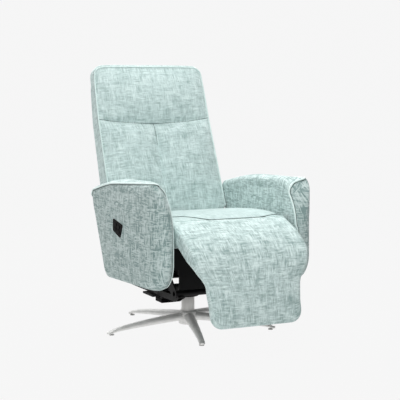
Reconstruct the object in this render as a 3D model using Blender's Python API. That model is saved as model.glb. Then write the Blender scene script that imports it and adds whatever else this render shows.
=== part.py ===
"""Power lift recliner on a five-leg swivel base, in metres, +Z up, the sitter facing -Y.

Every outline is drawn as (y, z) points with the swivel column's axis at y = 0.
A root empty then sets the whole chair over the middle of its footprint.
"""
import math

import bmesh
import bpy
import numpy as np
from mathutils import Vector

# General fits and fineness
GAP = 0.0003
RUN = 0.0005
ROUND_SIDES = 16
SHARP_ANGLE = math.radians(40.0)
SWIVEL_Y = 0.078

# Star base and column
STAR_LEGS = 5
STAR_TURN = math.radians(-16.2)
STAR_RADIUS = 0.369
LEG_ROOT_WIDTH = 0.046
LEG_TIP_WIDTH = 0.024
LEG_ROOT_TOP = 0.068
LEG_TIP_TOP = 0.0155
LEG_ROOT_BOTTOM = 0.034
LEG_BOW = 0.6
LEG_STATIONS = (0.0, 0.25, 0.5, 0.75, 1.0)
LEG_NOSE = ((0.35, 0.75), (0.0, 0.35))
LEG_SECTION = ((0.8, 0.0), (1.0, 0.3), (0.6, 0.95), (-0.6, 0.95), (-1.0, 0.3), (-0.8, 0.0))
HUB_RADIUS = 0.040
HUB_BOTTOM = 0.016
HUB_TOP = 0.072
HUB_EDGE = 0.005
GLIDE_RADIUS = 0.010
GLIDE_HEIGHT = 0.0045
GLIDE_INSET = 0.020
COLUMN_RADIUS = 0.0275
COLUMN_WALL = 0.004
COLUMN_SEAT = 0.040
COLUMN_TOP = 0.132
BUSH_LENGTH = 0.045
BUSH_LIP = 0.0022
SPINDLE_RADIUS = 0.015
SPINDLE_REACH = 0.080

# Turntable
FLANGE_RADIUS = 0.045
FLANGE_THICK = 0.015
CROSS_PLATE_LENGTH = 0.364
CROSS_PLATE_DEPTH = 0.103
CROSS_PLATE_THICK = 0.008
CROSS_PLATE_Y = 0.004
BASE_RAIL_SPREAD = 0.150
BASE_RAIL_SIZE = 0.025
BASE_RAIL_FRONT = -0.272
BASE_RAIL_REAR = 0.222
BASE_RAIL_SLANT = 0.052
RAIL_WALL = 0.002
TUBE_RADIUS = 0.0125
TUBE_WALL = 0.002
BOX_LENGTH = 0.070
BOX_DEPTH = 0.066
BOX_HEIGHT = 0.018
BOX_DROP = 0.016
BOX_ROOM = 0.017
BOX_Y = 0.008
BOX_EDGE = 0.003
BOX_SHEET = 0.003
POST_RADIUS = 0.004
POST_INSET = 0.012
INLET_WIDTH = 0.014
INLET_HEIGHT = 0.010
INLET_DEPTH = 0.008

# Lift links
LINK_THICK = 0.006
LINK_EYE = 0.022
EYE_STEPS = 6
FRONT_LINK_X = 0.172
REAR_LINK_X = 0.186
FRONT_LINK_LOW_Y = -0.250
REAR_LINK_LOW_Y = -0.100
FRONT_LINK_HIGH_Y = -0.110
REAR_LINK_HIGH_Y = 0.145
LIFT_MOTOR_Y = 0.190
OPEN_PIVOT_PLAY = 0.006

# Seat frame
SEAT_HALF_WIDTH = 0.262
SEAT_RAIL_WIDTH = 0.020
SEAT_RAIL_X = 0.2435
SEAT_RAIL_BOTTOM = 0.305
SEAT_RAIL_TOP = 0.385
SEAT_RAIL_FRONT = -0.335
SEAT_RAIL_REAR = 0.235
SEAT_TUBE_Z = 0.320
APRON_THICK = 0.003
APRON_SETBACK = 0.005
APRON_BOTTOM = 0.225
APRON_STEP = 0.303
APRON_LOW_HALF_WIDTH = 0.192
WEBBING_STRAPS = 6
WEBBING_WIDTH = 0.050
STRAP_SHARE = 0.9
WEBBING_PITCH = 0.072
WEBBING_THICK = 0.003
WEBBING_Y = -0.260
LUG_THICK = 0.006
LUG_FOOT = 0.028
LUG_EYE = 0.020

# Seat cushion
SEAT_FRONT_TOP = 0.4965
SEAT_REAR_TOP = 0.484
SEAT_CROWN = 0.012
SEAT_EDGE = 0.016
SEAT_FRONT_FOOT = 0.016
SEAT_BACK_ROOM = 0.019
SEAT_HOLLOW_LOW = -40.0
SEAT_HOLLOW_HIGH = 58.0

# Backrest
BACK_PIVOT_Y = 0.202
BACK_PIVOT_Z = 0.400
BACK_LEAN = math.radians(23.0)
BACK_KNUCKLE = 0.053
BACK_LENGTH = 0.4845
BACK_SEAM_DEPTH = 0.080
BACK_HALF_WIDTH = 0.273
BACK_SEAM_HALF_WIDTH = 0.267
BACK_CROWN = 0.034
BACK_SEAM_CROWN = 0.012
BACK_EDGE = 0.006
BACK_STEP = 0.030
BACK_CROWN_START = 0.02
BACK_CROWN_RISE = 0.20
BACK_SEAM_FALL = 0.12
CENTRE_SEAM_DEPTH = 0.008
CENTRE_SEAM_WIDTH = 0.012
BACK_ROD_RADIUS = 0.010
BACK_BOARD_THICK = 0.016
BACK_BOARD_HALF_WIDTH = 0.225
BACK_BOARD_SHORT = 0.0245
BACK_BOSS = 0.018

# Headrest
HEAD_LEAN = math.radians(19.0)
HEAD_LENGTH = 0.254
HEAD_TOP_DEPTH = 0.056
HEAD_TOP_HALF_WIDTH = 0.260
HEAD_CROWN = 0.028
HEAD_SWELL = (0.12, 0.95)
HEAD_CORNER = 0.045
HEAD_EDGE = 0.008
HEAD_TILT = math.radians(25.0)
HEAD_TUCK_ROOM = math.radians(1.0)
HEAD_BOARD_THICK = 0.012
HEAD_BOARD_HALF_WIDTH = 0.200
HEAD_BOARD_BOTTOM = 0.012
HEAD_BOARD_TOP = 0.120
HINGE_X = 0.118
HINGE_LEAF = 0.0035
HINGE_EYE = 0.013
HINGE_REACH = 0.065
HINGE_PIN = 0.005
HINGE_SLOT_ROOM = 0.002
HINGE_LAP = 0.003

# Legrest
LEG_PIVOT_Y = -0.365
LEG_PIVOT_Z = 0.447
LEG_DROP = math.radians(29.0)
LEG_KNUCKLE = 0.050
KNUCKLE_ROOM = 0.0035
LEG_HALF_WIDTH = 0.246
LEG_EDGE = 0.012
LEG_CROWN = 0.018
LEG_SIDE_FALL = 0.35
LEG_NOSE_START = 75.0
LEG_NOSE_END = 225.0
LEG_KNUCKLE_END = 292.0
LEG_UNDERSIDE = 0.020
LEG_LIP = 0.004
LEG_BOARD_THICK = 0.008
LEG_BOARD_START = 0.082
LEG_BOARD_HALF_WIDTH = 0.225
LEG_ROD_RADIUS = 0.008
LEG_ARM_X = 0.187
LEG_ARM_THICK = 0.006
LEG_ARM_EYE = 0.016
FLAP_OUT = 0.2035
FLAP_RISE = 0.0042

# Foot flap
FLAP_LEAN = math.radians(13.0)
FLAP_KNUCKLE = 0.032
FLAP_LENGTH = 0.243
FLAP_HALF_WIDTH = 0.190
FLAP_TOP_HALF_WIDTH = 0.240
FLAP_FLARE = 0.120
FLAP_CORNER = 0.045
FLAP_EDGE = 0.013
FLAP_CROWN = 0.008
FLAP_BACK_PLANE = -0.004
FLAP_KNUCKLE_END = 310.0
FLAP_BOARD_THICK = 0.009
FLAP_BOARD_START = 0.060
FLAP_BOARD_MARGIN = 0.030
FLAP_ROD_RADIUS = 0.006

# Arms
ARM_INNER = 0.275
ARM_OUTER = 0.347
ARM_CREST = 0.295
ARM_BULGE = 0.008
ARM_FRONT_BOTTOM = 0.240
ARM_REAR_BOTTOM = 0.222
ARM_FRONT_TOP = 0.652
ARM_SHOULDER = 0.641
ARM_REAR_TOP = 0.588
ARM_FRONT_LOW_Y = -0.465
ARM_FRONT_HIGH_Y = -0.465
ARM_SHOULDER_Y = -0.010
ARM_REAR_LOW_Y = 0.098
ARM_REAR_HIGH_Y = 0.262
ARM_FRONT_LOW_ROUND = 0.110
ARM_FRONT_HIGH_ROUND = 0.170
ARM_OUTER_FRONT_ROUND = 0.025
ARM_REAR_LOW_ROUND = 0.065
ARM_REAR_HIGH_ROUND = 0.030
ARM_SHOULDER_ROUND = 0.500
ARM_FRONT_WRAP = 0.130
ARM_TOP_WRAP = 0.024
ARM_BOTTOM_WRAP = 0.014
ARM_REAR_WRAP = 0.050
ARM_INNER_WRAP = 0.020
ARM_BOARD_X = 0.284
ARM_BOARD_THICK = 0.018
ARM_BOARD_INSET = 0.045
ARM_BOARD_ROUND = 0.040
ARM_WINDOW_FRONT = -0.320
ARM_WINDOW_REAR = 0.060
ARM_WINDOW_BOTTOM = 0.300
ARM_WINDOW_TOP = 0.380
ARM_BRACKET_HEIGHT = 0.044
ARM_BRACKET_FRONT = -0.230
ARM_BRACKET_REAR = 0.010
ARM_STUD_Z = 0.340
STUD_RADIUS = 0.005
STUD_BITE = 0.014

# Switch plate on the left arm, corners as (y, z)
SWITCH_TOP_REAR = (-0.055, 0.486)
SWITCH_TOP_FRONT = (-0.160, 0.468)
SWITCH_LOW_FRONT = (-0.130, 0.414)
SWITCH_LOW_REAR = (-0.055, 0.437)
SWITCH_ROUND = 0.007
SWITCH_SINK = 0.0052
SWITCH_PROUD = 0.003
SWITCH_EDGE = 0.0015
KEY_LENGTH = 0.022
KEY_HEIGHT = 0.013
KEY_ROUND = 0.003
KEY_PITCH_LONG = 0.034
KEY_PITCH_HIGH = 0.019
KEY_PROUD = 0.0018
KEY_TRAVEL = 0.0012
KEY_DEPTH = 0.012
SMALL_CORNER_STEPS = 3
KEY_CORNER_STEPS = 2

# Linear actuators
MOTOR_TUBE_RADIUS = 0.011
ROD_RADIUS = 0.0075
GEARBOX_START = 0.026
GEARBOX_END = 0.086
GEARBOX_HALF_HEIGHT = 0.021
GEARBOX_NEAR = 0.022
GEARBOX_FAR = 0.062
GEARBOX_EDGE = 0.003
MOTOR_CAN_RADIUS = 0.0165
MOTOR_CAN_OFFSET = 0.040
MOTOR_CAN_END = 0.165
MOTOR_EYE_RADIUS = 0.020
MOTOR_EYE_HALF_WIDTH = 0.012
NECK_SHARE = 0.6
ROD_REACH = 0.035
ROD_GRIP = 0.038
ROD_END_HALF_WIDTH = 0.007
ROD_END_SIZE = 0.010
ROD_PIN_RADIUS = 0.006
ROD_PIN_HALF_LENGTH = 0.018
MOTOR_PIN_RADIUS = 0.007
CRANK_THICK = 0.005
CRANK_SIDE = 0.009
CRANK_RIM = 0.008
ROD_PIN_PLAY = 0.011
BRACKET_RISE = 0.034
BRACKET_EYE = 0.014
SIDE_MOTOR_X = 0.085
BACK_CRANK = 0.055
BACK_CRANK_TURN = math.radians(30.0)
LEG_CRANK = 0.085
LEG_CRANK_TURN = math.radians(15.0)
LIFT_LUG_DROP = 0.050
LIFT_STROKE = 0.140
BACK_STROKE = 0.040
LEG_STROKE_IN = 0.040
LEG_STROKE_OUT = 0.046
CRANK_NOTCH_ROOM = 0.006

# Fineness of the padded forms
PAD_STATIONS = (0.0, 0.05, 0.22, 0.50, 0.78, 0.93, 1.0)
ARM_OUTER_TURNS = (0.0, 30.0, 60.0, 90.0)
ARM_INNER_TURNS = (90.0, 45.0)
ARM_BULGE_RINGS = ((0.72, 0.6), (0.36, 1.0))
ARM_CORNER_STEPS = 5
ARM_EDGE_STEPS = 2
FACE_STEPS = 9
REAR_STEPS = 4
ROUND_STEPS = 8
CAP_STEPS = 6
EDGE_START = 0.78
CROWN_POWER = 4
SWELL_POWER = 0.7


def point(y, z):
    """A place in the side view."""
    return np.array([y, z])


class Lean:
    """A slanted piece's own axes in the side view: along it, and square to it on its outer face."""

    def __init__(self, origin, along, side):
        self.origin = origin
        self.along = along
        self.normal = side * np.array([-along[1], along[0]])

    def place(self, along, out):
        """The (y, z) place that lies the given distances along the piece and out from it."""
        return self.origin + np.multiply.outer(along, self.along) + np.multiply.outer(out, self.normal)

    def outline(self, pairs):
        """The (y, z) outline of points given as (along, out) pairs."""
        pairs = np.asarray(pairs)
        return self.place(pairs[:, 0], pairs[:, 1])


# Places that several pieces share
BUSH_TOP = COLUMN_TOP + GAP + BUSH_LIP
BOX_X = -(FLANGE_RADIUS + BOX_ROOM + BOX_LENGTH / 2.0)
FLANGE_BOTTOM = BUSH_TOP + GAP
CROSS_PLATE_BOTTOM = FLANGE_BOTTOM + FLANGE_THICK + GAP
CROSS_PLATE_TOP = CROSS_PLATE_BOTTOM + CROSS_PLATE_THICK
BASE_RAIL_BOTTOM = CROSS_PLATE_TOP + GAP
BASE_RAIL_TOP = BASE_RAIL_BOTTOM + BASE_RAIL_SIZE
BASE_TUBE_Z = BASE_RAIL_TOP + GAP + TUBE_RADIUS
FRONT_LINK_LOW = point(FRONT_LINK_LOW_Y, BASE_TUBE_Z)
REAR_LINK_LOW = point(REAR_LINK_LOW_Y, BASE_TUBE_Z)
LIFT_MOTOR_PIVOT = point(LIFT_MOTOR_Y, BASE_TUBE_Z)
FRONT_LINK_HIGH = point(FRONT_LINK_HIGH_Y, SEAT_TUBE_Z)
REAR_LINK_HIGH = point(REAR_LINK_HIGH_Y, SEAT_TUBE_Z)
BACK_PIVOT = point(BACK_PIVOT_Y, BACK_PIVOT_Z)
LEG_PIVOT = point(LEG_PIVOT_Y, LEG_PIVOT_Z)
BACK = Lean(BACK_PIVOT, point(math.sin(BACK_LEAN), math.cos(BACK_LEAN)), 1.0)
LEG = Lean(LEG_PIVOT, point(-math.cos(LEG_DROP), -math.sin(LEG_DROP)), -1.0)
HEAD_PIVOT_DEPTH = BACK_KNUCKLE - BACK_BOARD_THICK / 2.0 - RUN - HINGE_EYE
HEAD_PIVOT = BACK.place(BACK_LENGTH, BACK_KNUCKLE - HEAD_PIVOT_DEPTH)
HEAD_TUCK = (HEAD_TILT + BACK_LEAN - HEAD_LEAN) / 2.0 + HEAD_TUCK_ROOM
BACK_BOARD_TOP = BACK_LENGTH - BACK_BOARD_SHORT
HEAD = Lean(HEAD_PIVOT, point(math.sin(HEAD_LEAN), math.cos(HEAD_LEAN)), 1.0)
FLAP_PIVOT = LEG.place(FLAP_OUT, FLAP_RISE)
FLAP = Lean(FLAP_PIVOT, point(-math.sin(FLAP_LEAN), -math.cos(FLAP_LEAN)), -1.0)
BACK_MOTOR_PIVOT = FRONT_LINK_HIGH + point(0.0, BRACKET_RISE)
LEG_MOTOR_PIVOT = REAR_LINK_HIGH + point(0.0, BRACKET_RISE)
LIFT_ROD_PIN = FRONT_LINK_HIGH - point(0.0, LIFT_LUG_DROP)
BACK_ROD_PIN = BACK_PIVOT + BACK_CRANK * point(math.sin(BACK_CRANK_TURN), -math.cos(BACK_CRANK_TURN))
LEG_ROD_PIN = LEG_PIVOT - LEG_CRANK * point(math.sin(LEG_CRANK_TURN), math.cos(LEG_CRANK_TURN))
SEAT_RAIL_OUTER = SEAT_RAIL_X + SEAT_RAIL_WIDTH
LUG_FACE = SEAT_RAIL_OUTER + LUG_THICK
ROD_END_X = LUG_FACE - GAP
SEAT_BOTTOM = SEAT_RAIL_TOP + GAP + WEBBING_THICK + GAP
SWITCH_BACK = ARM_OUTER - SWITCH_SINK
SWITCH_FACE = ARM_OUTER + ARM_BULGE + SWITCH_PROUD


def clear_scene():
    for thing in list(bpy.data.objects):
        bpy.data.objects.remove(thing, do_unlink=True)


def paint(name, colour, roughness, metallic):
    """A plain Principled finish."""
    finish = bpy.data.materials.new(name)
    finish.use_nodes = True
    shader = finish.node_tree.nodes["Principled BSDF"]
    shader.inputs["Base Color"].default_value = (*colour, 1.0)
    shader.inputs["Roughness"].default_value = roughness
    shader.inputs["Metallic"].default_value = metallic
    return finish


def add_body(name, pivot, parent=None):
    """An empty on a joint's axis, which carries everything that moves with that joint."""
    empty = bpy.data.objects.new(name, None)
    bpy.context.collection.objects.link(empty)
    pivot = Vector(pivot)
    empty.location = pivot
    if parent:
        empty.parent = parent
        empty.location = pivot - Vector(parent["pivot"])
    empty["pivot"] = pivot
    return empty


def hinge_body(name, place, parent):
    """A body whose hinge runs along X through a place in the side view."""
    return add_body(name, (0.0, place[0], place[1]), parent)


def make(name, shape, body, finish=None):
    """A named object from a closed shape, with its own origin on its body's axis."""
    verts, faces = shape
    mesh = bpy.data.meshes.new(name)
    mesh.from_pydata(np.asarray(verts) - np.array(body["pivot"]), [], faces)
    work = bmesh.new()
    work.from_mesh(mesh)
    bmesh.ops.recalc_face_normals(work, faces=work.faces)
    work.to_mesh(mesh)
    work.free()
    mesh.shade_smooth()
    mesh.set_sharp_from_angle(angle=SHARP_ANGLE)
    piece = bpy.data.objects.new(name, mesh)
    bpy.context.collection.objects.link(piece)
    piece.parent = body
    if finish:
        mesh.materials.append(finish)
    return piece


def combine(piece, operation, shapes):
    """Cut shapes out of a piece, or weld them to it."""
    for shape in shapes:
        tool = make(piece.name + "_tool", shape, piece.parent)
        tool.hide_render = True
        tool.display_type = "WIRE"
        modifier = piece.modifiers.new("shape", "BOOLEAN")
        modifier.operation = operation
        modifier.solver = "EXACT"
        modifier.object = tool
    return piece


def cut(piece, *shapes):
    return combine(piece, "DIFFERENCE", shapes)


def weld(piece, *shapes):
    return combine(piece, "UNION", shapes)


def soften(piece, width):
    """A small rounded edge all round a piece."""
    modifier = piece.modifiers.new("edge", "BEVEL")
    modifier.width = width
    modifier.segments = 2
    modifier.limit_method = "ANGLE"
    return piece


def loft(rings):
    """A closed shape through rings of equally many points, with both ends filled."""
    count = len(rings[0])
    faces = []
    for ring in range(len(rings) - 1):
        for i in range(count):
            j = (i + 1) % count
            base = ring * count
            faces.append((base + i, base + j, base + count + j, base + count + i))
    faces.append(tuple(reversed(range(count))))
    last = (len(rings) - 1) * count
    faces.append(tuple(range(last, last + count)))
    return np.vstack(rings), faces


def at_x(outline, x):
    """A side-view outline set at one place across the chair."""
    return np.column_stack([np.full(len(outline), x), outline])


def prism(outline, x_low, x_high):
    """A side-view outline carried across the chair."""
    return loft([at_x(outline, x_low), at_x(outline, x_high)])


def block(low, high):
    """A rectangular block between two corners."""
    corners = [(low[1], low[2]), (high[1], low[2]), (high[1], high[2]), (low[1], high[2])]
    return prism(np.array(corners), low[0], high[0])


def ring_frame(start, end):
    """Two unit directions square to a line."""
    line = np.asarray(end) - np.asarray(start)
    line = line / np.linalg.norm(line)
    across = np.array([0.0, 0.0, 1.0]) if abs(line[2]) < 0.9 else np.array([1.0, 0.0, 0.0])
    first = np.cross(line, across)
    first = first / np.linalg.norm(first)
    return first, np.cross(line, first)


def circle_points(centre, first, second, radius):
    turns = np.arange(ROUND_SIDES) * 2.0 * math.pi / ROUND_SIDES
    return np.asarray(centre) + radius * (np.outer(np.cos(turns), first) + np.outer(np.sin(turns), second))


def cylinder(start, end, radius):
    """A solid round bar between two points."""
    first, second = ring_frame(start, end)
    return loft([circle_points(start, first, second, radius), circle_points(end, first, second, radius)])


def pipe(start, end, radius, bore):
    """A round tube between two points, open at both ends."""
    first, second = ring_frame(start, end)
    rings = [circle_points(start, first, second, radius), circle_points(end, first, second, radius)]
    rings += [circle_points(end, first, second, bore), circle_points(start, first, second, bore)]
    return closed_rings(rings)


def closed_rings(rings):
    """A ring-shaped solid whose last ring joins its first."""
    count = len(rings[0])
    faces = []
    for ring in range(len(rings)):
        here = ring * count
        there = (ring + 1) % len(rings) * count
        for i in range(count):
            j = (i + 1) % count
            faces.append((here + i, here + j, there + j, there + i))
    return np.vstack(rings), faces


def cross_bar(place, x_low, x_high, radius):
    """A solid round bar across the chair."""
    return cylinder((x_low, place[0], place[1]), (x_high, place[0], place[1]), radius)


def cross_pipe(place, half_length):
    """A pivot tube across the chair."""
    y, z = place
    return pipe((-half_length, y, z), (half_length, y, z), TUBE_RADIUS, TUBE_RADIUS - TUBE_WALL)


def box_rail(x_low, x_high, y_low, y_high, z_low, z_high, slant=0.0):
    """A rectangular steel tube that runs from front to rear, open at both ends, with its front cut back to the bottom."""
    outer = [(x_low, z_low), (x_high, z_low), (x_high, z_high), (x_low, z_high)]
    w = RAIL_WALL
    inner = [(x_low + w, z_low + w), (x_high - w, z_low + w)]
    inner += [(x_high - w, z_high - w), (x_low + w, z_high - w)]
    lean = slant / (z_high - z_low)
    rings = []
    for corners, front in ((outer, True), (outer, False), (inner, False), (inner, True)):
        rings.append(np.array([(x, y_low + lean * (z_high - z) if front else y_high, z) for x, z in corners]))
    return closed_rings(rings)


def mirrored(shape):
    """The same shape on the other side of the chair."""
    verts, faces = shape
    return np.asarray(verts) * np.array([-1.0, 1.0, 1.0]), faces


def join(*shapes):
    """Separate shapes as one cutting tool."""
    verts = []
    faces = []
    start = 0
    for shape_verts, shape_faces in shapes:
        verts.append(np.asarray(shape_verts))
        faces += [tuple(start + i for i in face) for face in shape_faces]
        start += len(shape_verts)
    return np.vstack(verts), faces


def both_sides(shape):
    return join(shape, mirrored(shape))


def as_drawn(shape):
    return shape


SIDES = (("right", as_drawn), ("left", mirrored))


def arc(centre, radius, start, end, steps):
    """Points on a round stretch, from one angle to another in degrees."""
    turns = np.radians(np.linspace(start, end, steps + 1))
    return np.asarray(centre) + radius * np.column_stack([np.cos(turns), np.sin(turns)])


def rounded(corners, radii, arc_steps, edge_steps):
    """A closed outline through corners, each rounded by its own radius, with points along its edges."""
    corners = [np.asarray(corner) for corner in corners]
    stretches = []
    for i, corner in enumerate(corners):
        back = corners[i - 1] - corner
        ahead = corners[(i + 1) % len(corners)] - corner
        back = back / np.linalg.norm(back)
        ahead = ahead / np.linalg.norm(ahead)
        half = math.acos(float(np.clip(back @ ahead, -1.0, 1.0))) / 2.0
        middle = (back + ahead) / np.linalg.norm(back + ahead)
        centre = corner + middle * radii[i] / math.sin(half)
        first = math.atan2(*(corner + back * radii[i] / math.tan(half) - centre)[::-1])
        last = math.atan2(*(corner + ahead * radii[i] / math.tan(half) - centre)[::-1])
        sweep = (last - first + math.pi) % (2.0 * math.pi) - math.pi
        stretches.append(arc(centre, radii[i], math.degrees(first), math.degrees(first + sweep), arc_steps))
    points = []
    for i, stretch in enumerate(stretches):
        points.append(stretch)
        following = stretches[(i + 1) % len(stretches)]
        shares = np.arange(1, edge_steps + 1) / (edge_steps + 1.0)
        points.append(stretch[-1] + np.outer(shares, following[0] - stretch[-1]))
    return np.vstack(points)


def link_outline(start, end, start_radius, end_radius):
    """A flat bar with two round eyes, whose sides touch both circles."""
    line = end - start
    heading = math.degrees(math.atan2(line[1], line[0]))
    side = math.degrees(math.acos((start_radius - end_radius) / np.linalg.norm(line)))
    tip = arc(end, end_radius, heading - side, heading + side, EYE_STEPS)
    heel = arc(start, start_radius, heading + side, heading + 360.0 - side, EYE_STEPS)
    return np.vstack([tip, heel])


def ease(share):
    """A smooth rise from 0 to 1."""
    share = np.clip(share, 0.0, 1.0)
    return share * share * (3.0 - 2.0 * share)


def edge_inset(t, inset):
    """How far a pad's outline draws in towards its sides, as a quarter ellipse."""
    share = np.clip((abs(t) - EDGE_START) / (1.0 - EDGE_START), 0.0, 1.0)
    return inset * (1.0 - math.sqrt(1.0 - share * share))


def corner_drop(t, half_width, radius):
    """How far a rounded corner falls short of a pad's end."""
    share = np.clip((abs(t) * half_width - half_width + radius) / radius, 0.0, 1.0)
    return radius * (1.0 - math.sqrt(1.0 - share * share))


def across_stations():
    """Places across a pad from its left side to its right, closer at the middle and the sides."""
    right = list(PAD_STATIONS)
    return [-share for share in reversed(right[1:])] + right


def pad(ring_at):
    """A padded form through its own side outline at each place across the chair."""
    return loft([ring_at(t) for t in across_stations()])


def build_star(body, metal, plastic):
    """Cast star with a hub, and a glide under each leg tip."""
    low = (0.0, 0.0, HUB_BOTTOM)
    high = (0.0, 0.0, HUB_TOP)
    first, second = ring_frame(low, high)
    rings = []
    for z, radius in ((HUB_BOTTOM, HUB_RADIUS - HUB_EDGE), (HUB_BOTTOM + HUB_EDGE, HUB_RADIUS),
                      (HUB_TOP - HUB_EDGE, HUB_RADIUS), (HUB_TOP, HUB_RADIUS - HUB_EDGE)):
        rings.append(circle_points((0.0, 0.0, z), first, second, radius))
    star = make("star_base", loft(rings), body, metal)
    headings = [STAR_TURN + 2.0 * math.pi * i / STAR_LEGS for i in range(STAR_LEGS)]
    weld(star, *[star_leg(heading) for heading in headings])
    bore = COLUMN_RADIUS + GAP
    cut(star, cylinder((0.0, 0.0, HUB_TOP - COLUMN_SEAT), (0.0, 0.0, HUB_TOP + COLUMN_SEAT), bore))
    for number, heading in enumerate(headings, start=1):
        x = (STAR_RADIUS - GLIDE_INSET) * math.sin(heading)
        y = -(STAR_RADIUS - GLIDE_INSET) * math.cos(heading)
        glide = cylinder((x, y, 0.0), (x, y, GLIDE_HEIGHT - GAP), GLIDE_RADIUS)
        make("foot_glide_" + str(number), glide, body, plastic)


def star_leg(heading):
    """One blade leg that bows down and narrows from the hub to its tip."""
    out = np.array([math.sin(heading), -math.cos(heading), 0.0])
    side = np.array([math.cos(heading), math.sin(heading), 0.0])
    up = np.array([0.0, 0.0, 1.0])
    start = HUB_RADIUS / 2.0
    nose = LEG_TIP_WIDTH / 2.0
    rings = [(start + share * (STAR_RADIUS - nose - start), 1.0, share) for share in LEG_STATIONS]
    rings += [(STAR_RADIUS - nose * short, narrow, 1.0) for short, narrow in LEG_NOSE]
    sections = []
    for radius, narrow, share in rings:
        half = narrow * (LEG_ROOT_WIDTH + share * (LEG_TIP_WIDTH - LEG_ROOT_WIDTH)) / 2.0
        fall = (1.0 - share) ** LEG_BOW
        bottom = GLIDE_HEIGHT + (LEG_ROOT_BOTTOM - GLIDE_HEIGHT) * fall
        tall = LEG_TIP_TOP + (LEG_ROOT_TOP - LEG_TIP_TOP) * fall - bottom
        middle = out * radius + up * bottom
        sections.append(np.array([middle + side * half * w + up * tall * h for w, h in LEG_SECTION]))
    return loft(sections)


def build_column(body, metal, plastic):
    """Column tube in the hub, and the plastic bush that the spindle turns in."""
    foot = HUB_TOP - COLUMN_SEAT + GAP
    bore = COLUMN_RADIUS - COLUMN_WALL
    make("column_tube", pipe((0.0, 0.0, foot), (0.0, 0.0, COLUMN_TOP), COLUMN_RADIUS, bore), body, metal)
    first, second = ring_frame((0.0, 0.0, 0.0), (0.0, 0.0, 1.0))
    outer = bore - GAP
    inner = SPINDLE_RADIUS + RUN
    lip = COLUMN_TOP + GAP
    rings = []
    foot = lip - BUSH_LENGTH
    for z, radius in ((foot, outer), (lip, outer), (lip, COLUMN_RADIUS),
                      (BUSH_TOP, COLUMN_RADIUS), (BUSH_TOP, inner), (foot, inner)):
        rings.append(circle_points((0.0, 0.0, z), first, second, radius))
    make("column_bush", closed_rings(rings), body, plastic)


def build_turntable(body, steel, black, plastic):
    """Spindle, flange and cross plate, with the rails and tubes that carry the lift links."""
    top = FLANGE_BOTTOM + FLANGE_THICK
    spindle = cylinder((0.0, 0.0, top - SPINDLE_REACH), (0.0, 0.0, top), SPINDLE_RADIUS)
    make("swivel_spindle", spindle, body, steel)
    bore = SPINDLE_RADIUS + GAP
    flange = pipe((0.0, 0.0, FLANGE_BOTTOM), (0.0, 0.0, top), FLANGE_RADIUS, bore)
    make("swivel_flange", flange, body, black)
    low = (-CROSS_PLATE_LENGTH / 2.0, CROSS_PLATE_Y - CROSS_PLATE_DEPTH / 2.0, CROSS_PLATE_BOTTOM)
    high = (CROSS_PLATE_LENGTH / 2.0, CROSS_PLATE_Y + CROSS_PLATE_DEPTH / 2.0, CROSS_PLATE_TOP)
    make("cross_plate", block(low, high), body, black)
    half = BASE_RAIL_SIZE / 2.0
    rail = box_rail(BASE_RAIL_SPREAD - half, BASE_RAIL_SPREAD + half, BASE_RAIL_FRONT, BASE_RAIL_REAR,
                    BASE_RAIL_BOTTOM, BASE_RAIL_TOP, BASE_RAIL_SLANT)
    for side, place in SIDES:
        make("base_rail_" + side, place(rail), body, black)
    make("base_front_tube", cross_pipe(FRONT_LINK_LOW, FRONT_LINK_X + LINK_THICK + GAP), body, black)
    make("base_middle_tube", cross_pipe(REAR_LINK_LOW, REAR_LINK_X + LINK_THICK + GAP), body, black)
    make("base_motor_tube", cross_pipe(LIFT_MOTOR_PIVOT, BASE_RAIL_SPREAD + half), body, black)
    build_control_box(body, black, plastic)


def build_control_box(body, steel, plastic):
    """Control box that hangs under the cross plate on a four-post bracket, with its inlet at the rear."""
    top = CROSS_PLATE_BOTTOM - BOX_DROP
    low = np.array([BOX_X - BOX_LENGTH / 2.0, BOX_Y - BOX_DEPTH / 2.0, top - BOX_HEIGHT])
    high = np.array([BOX_X + BOX_LENGTH / 2.0, BOX_Y + BOX_DEPTH / 2.0, top])
    box = soften(make("control_box", block(low, high), body, plastic), BOX_EDGE)
    middle = top - BOX_HEIGHT / 2.0
    inlet_low = (BOX_X - INLET_WIDTH / 2.0, high[1] - INLET_DEPTH, middle - INLET_HEIGHT / 2.0)
    inlet_high = (BOX_X + INLET_WIDTH / 2.0, high[1] + INLET_DEPTH, middle + INLET_HEIGHT / 2.0)
    cut(box, block(inlet_low, inlet_high))
    sheet_top = CROSS_PLATE_BOTTOM - GAP
    sheet_low = (low[0], low[1], sheet_top - BOX_SHEET)
    bracket = make("control_box_bracket", block(sheet_low, (high[0], high[1], sheet_top)), body, steel)
    for x in (low[0] + POST_INSET, high[0] - POST_INSET):
        for y in (low[1] + POST_INSET, high[1] - POST_INSET):
            weld(bracket, cylinder((x, y, top + GAP), (x, y, sheet_top - BOX_SHEET / 2.0), POST_RADIUS))


def build_links(front_body, rear_body, black):
    """The two pairs of links that raise the seat; the rear pair's upper eyes are left with play."""
    bore = TUBE_RADIUS + RUN
    for name, body, low, high, x, high_bore in (
            ("front_link", front_body, FRONT_LINK_LOW, FRONT_LINK_HIGH, FRONT_LINK_X, bore),
            ("rear_link", rear_body, REAR_LINK_LOW, REAR_LINK_HIGH, REAR_LINK_X, bore + OPEN_PIVOT_PLAY)):
        outline = link_outline(low, high, LINK_EYE, LINK_EYE + high_bore - bore)
        plate = prism(outline, x, x + LINK_THICK)
        holes = [cross_bar(low, x - LINK_THICK, x + 2.0 * LINK_THICK, bore)]
        holes.append(cross_bar(high, x - LINK_THICK, x + 2.0 * LINK_THICK, high_bore))
        for side, place in SIDES:
            cut(make(name + "_" + side, place(plate), body, black), *[place(hole) for hole in holes])


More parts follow.
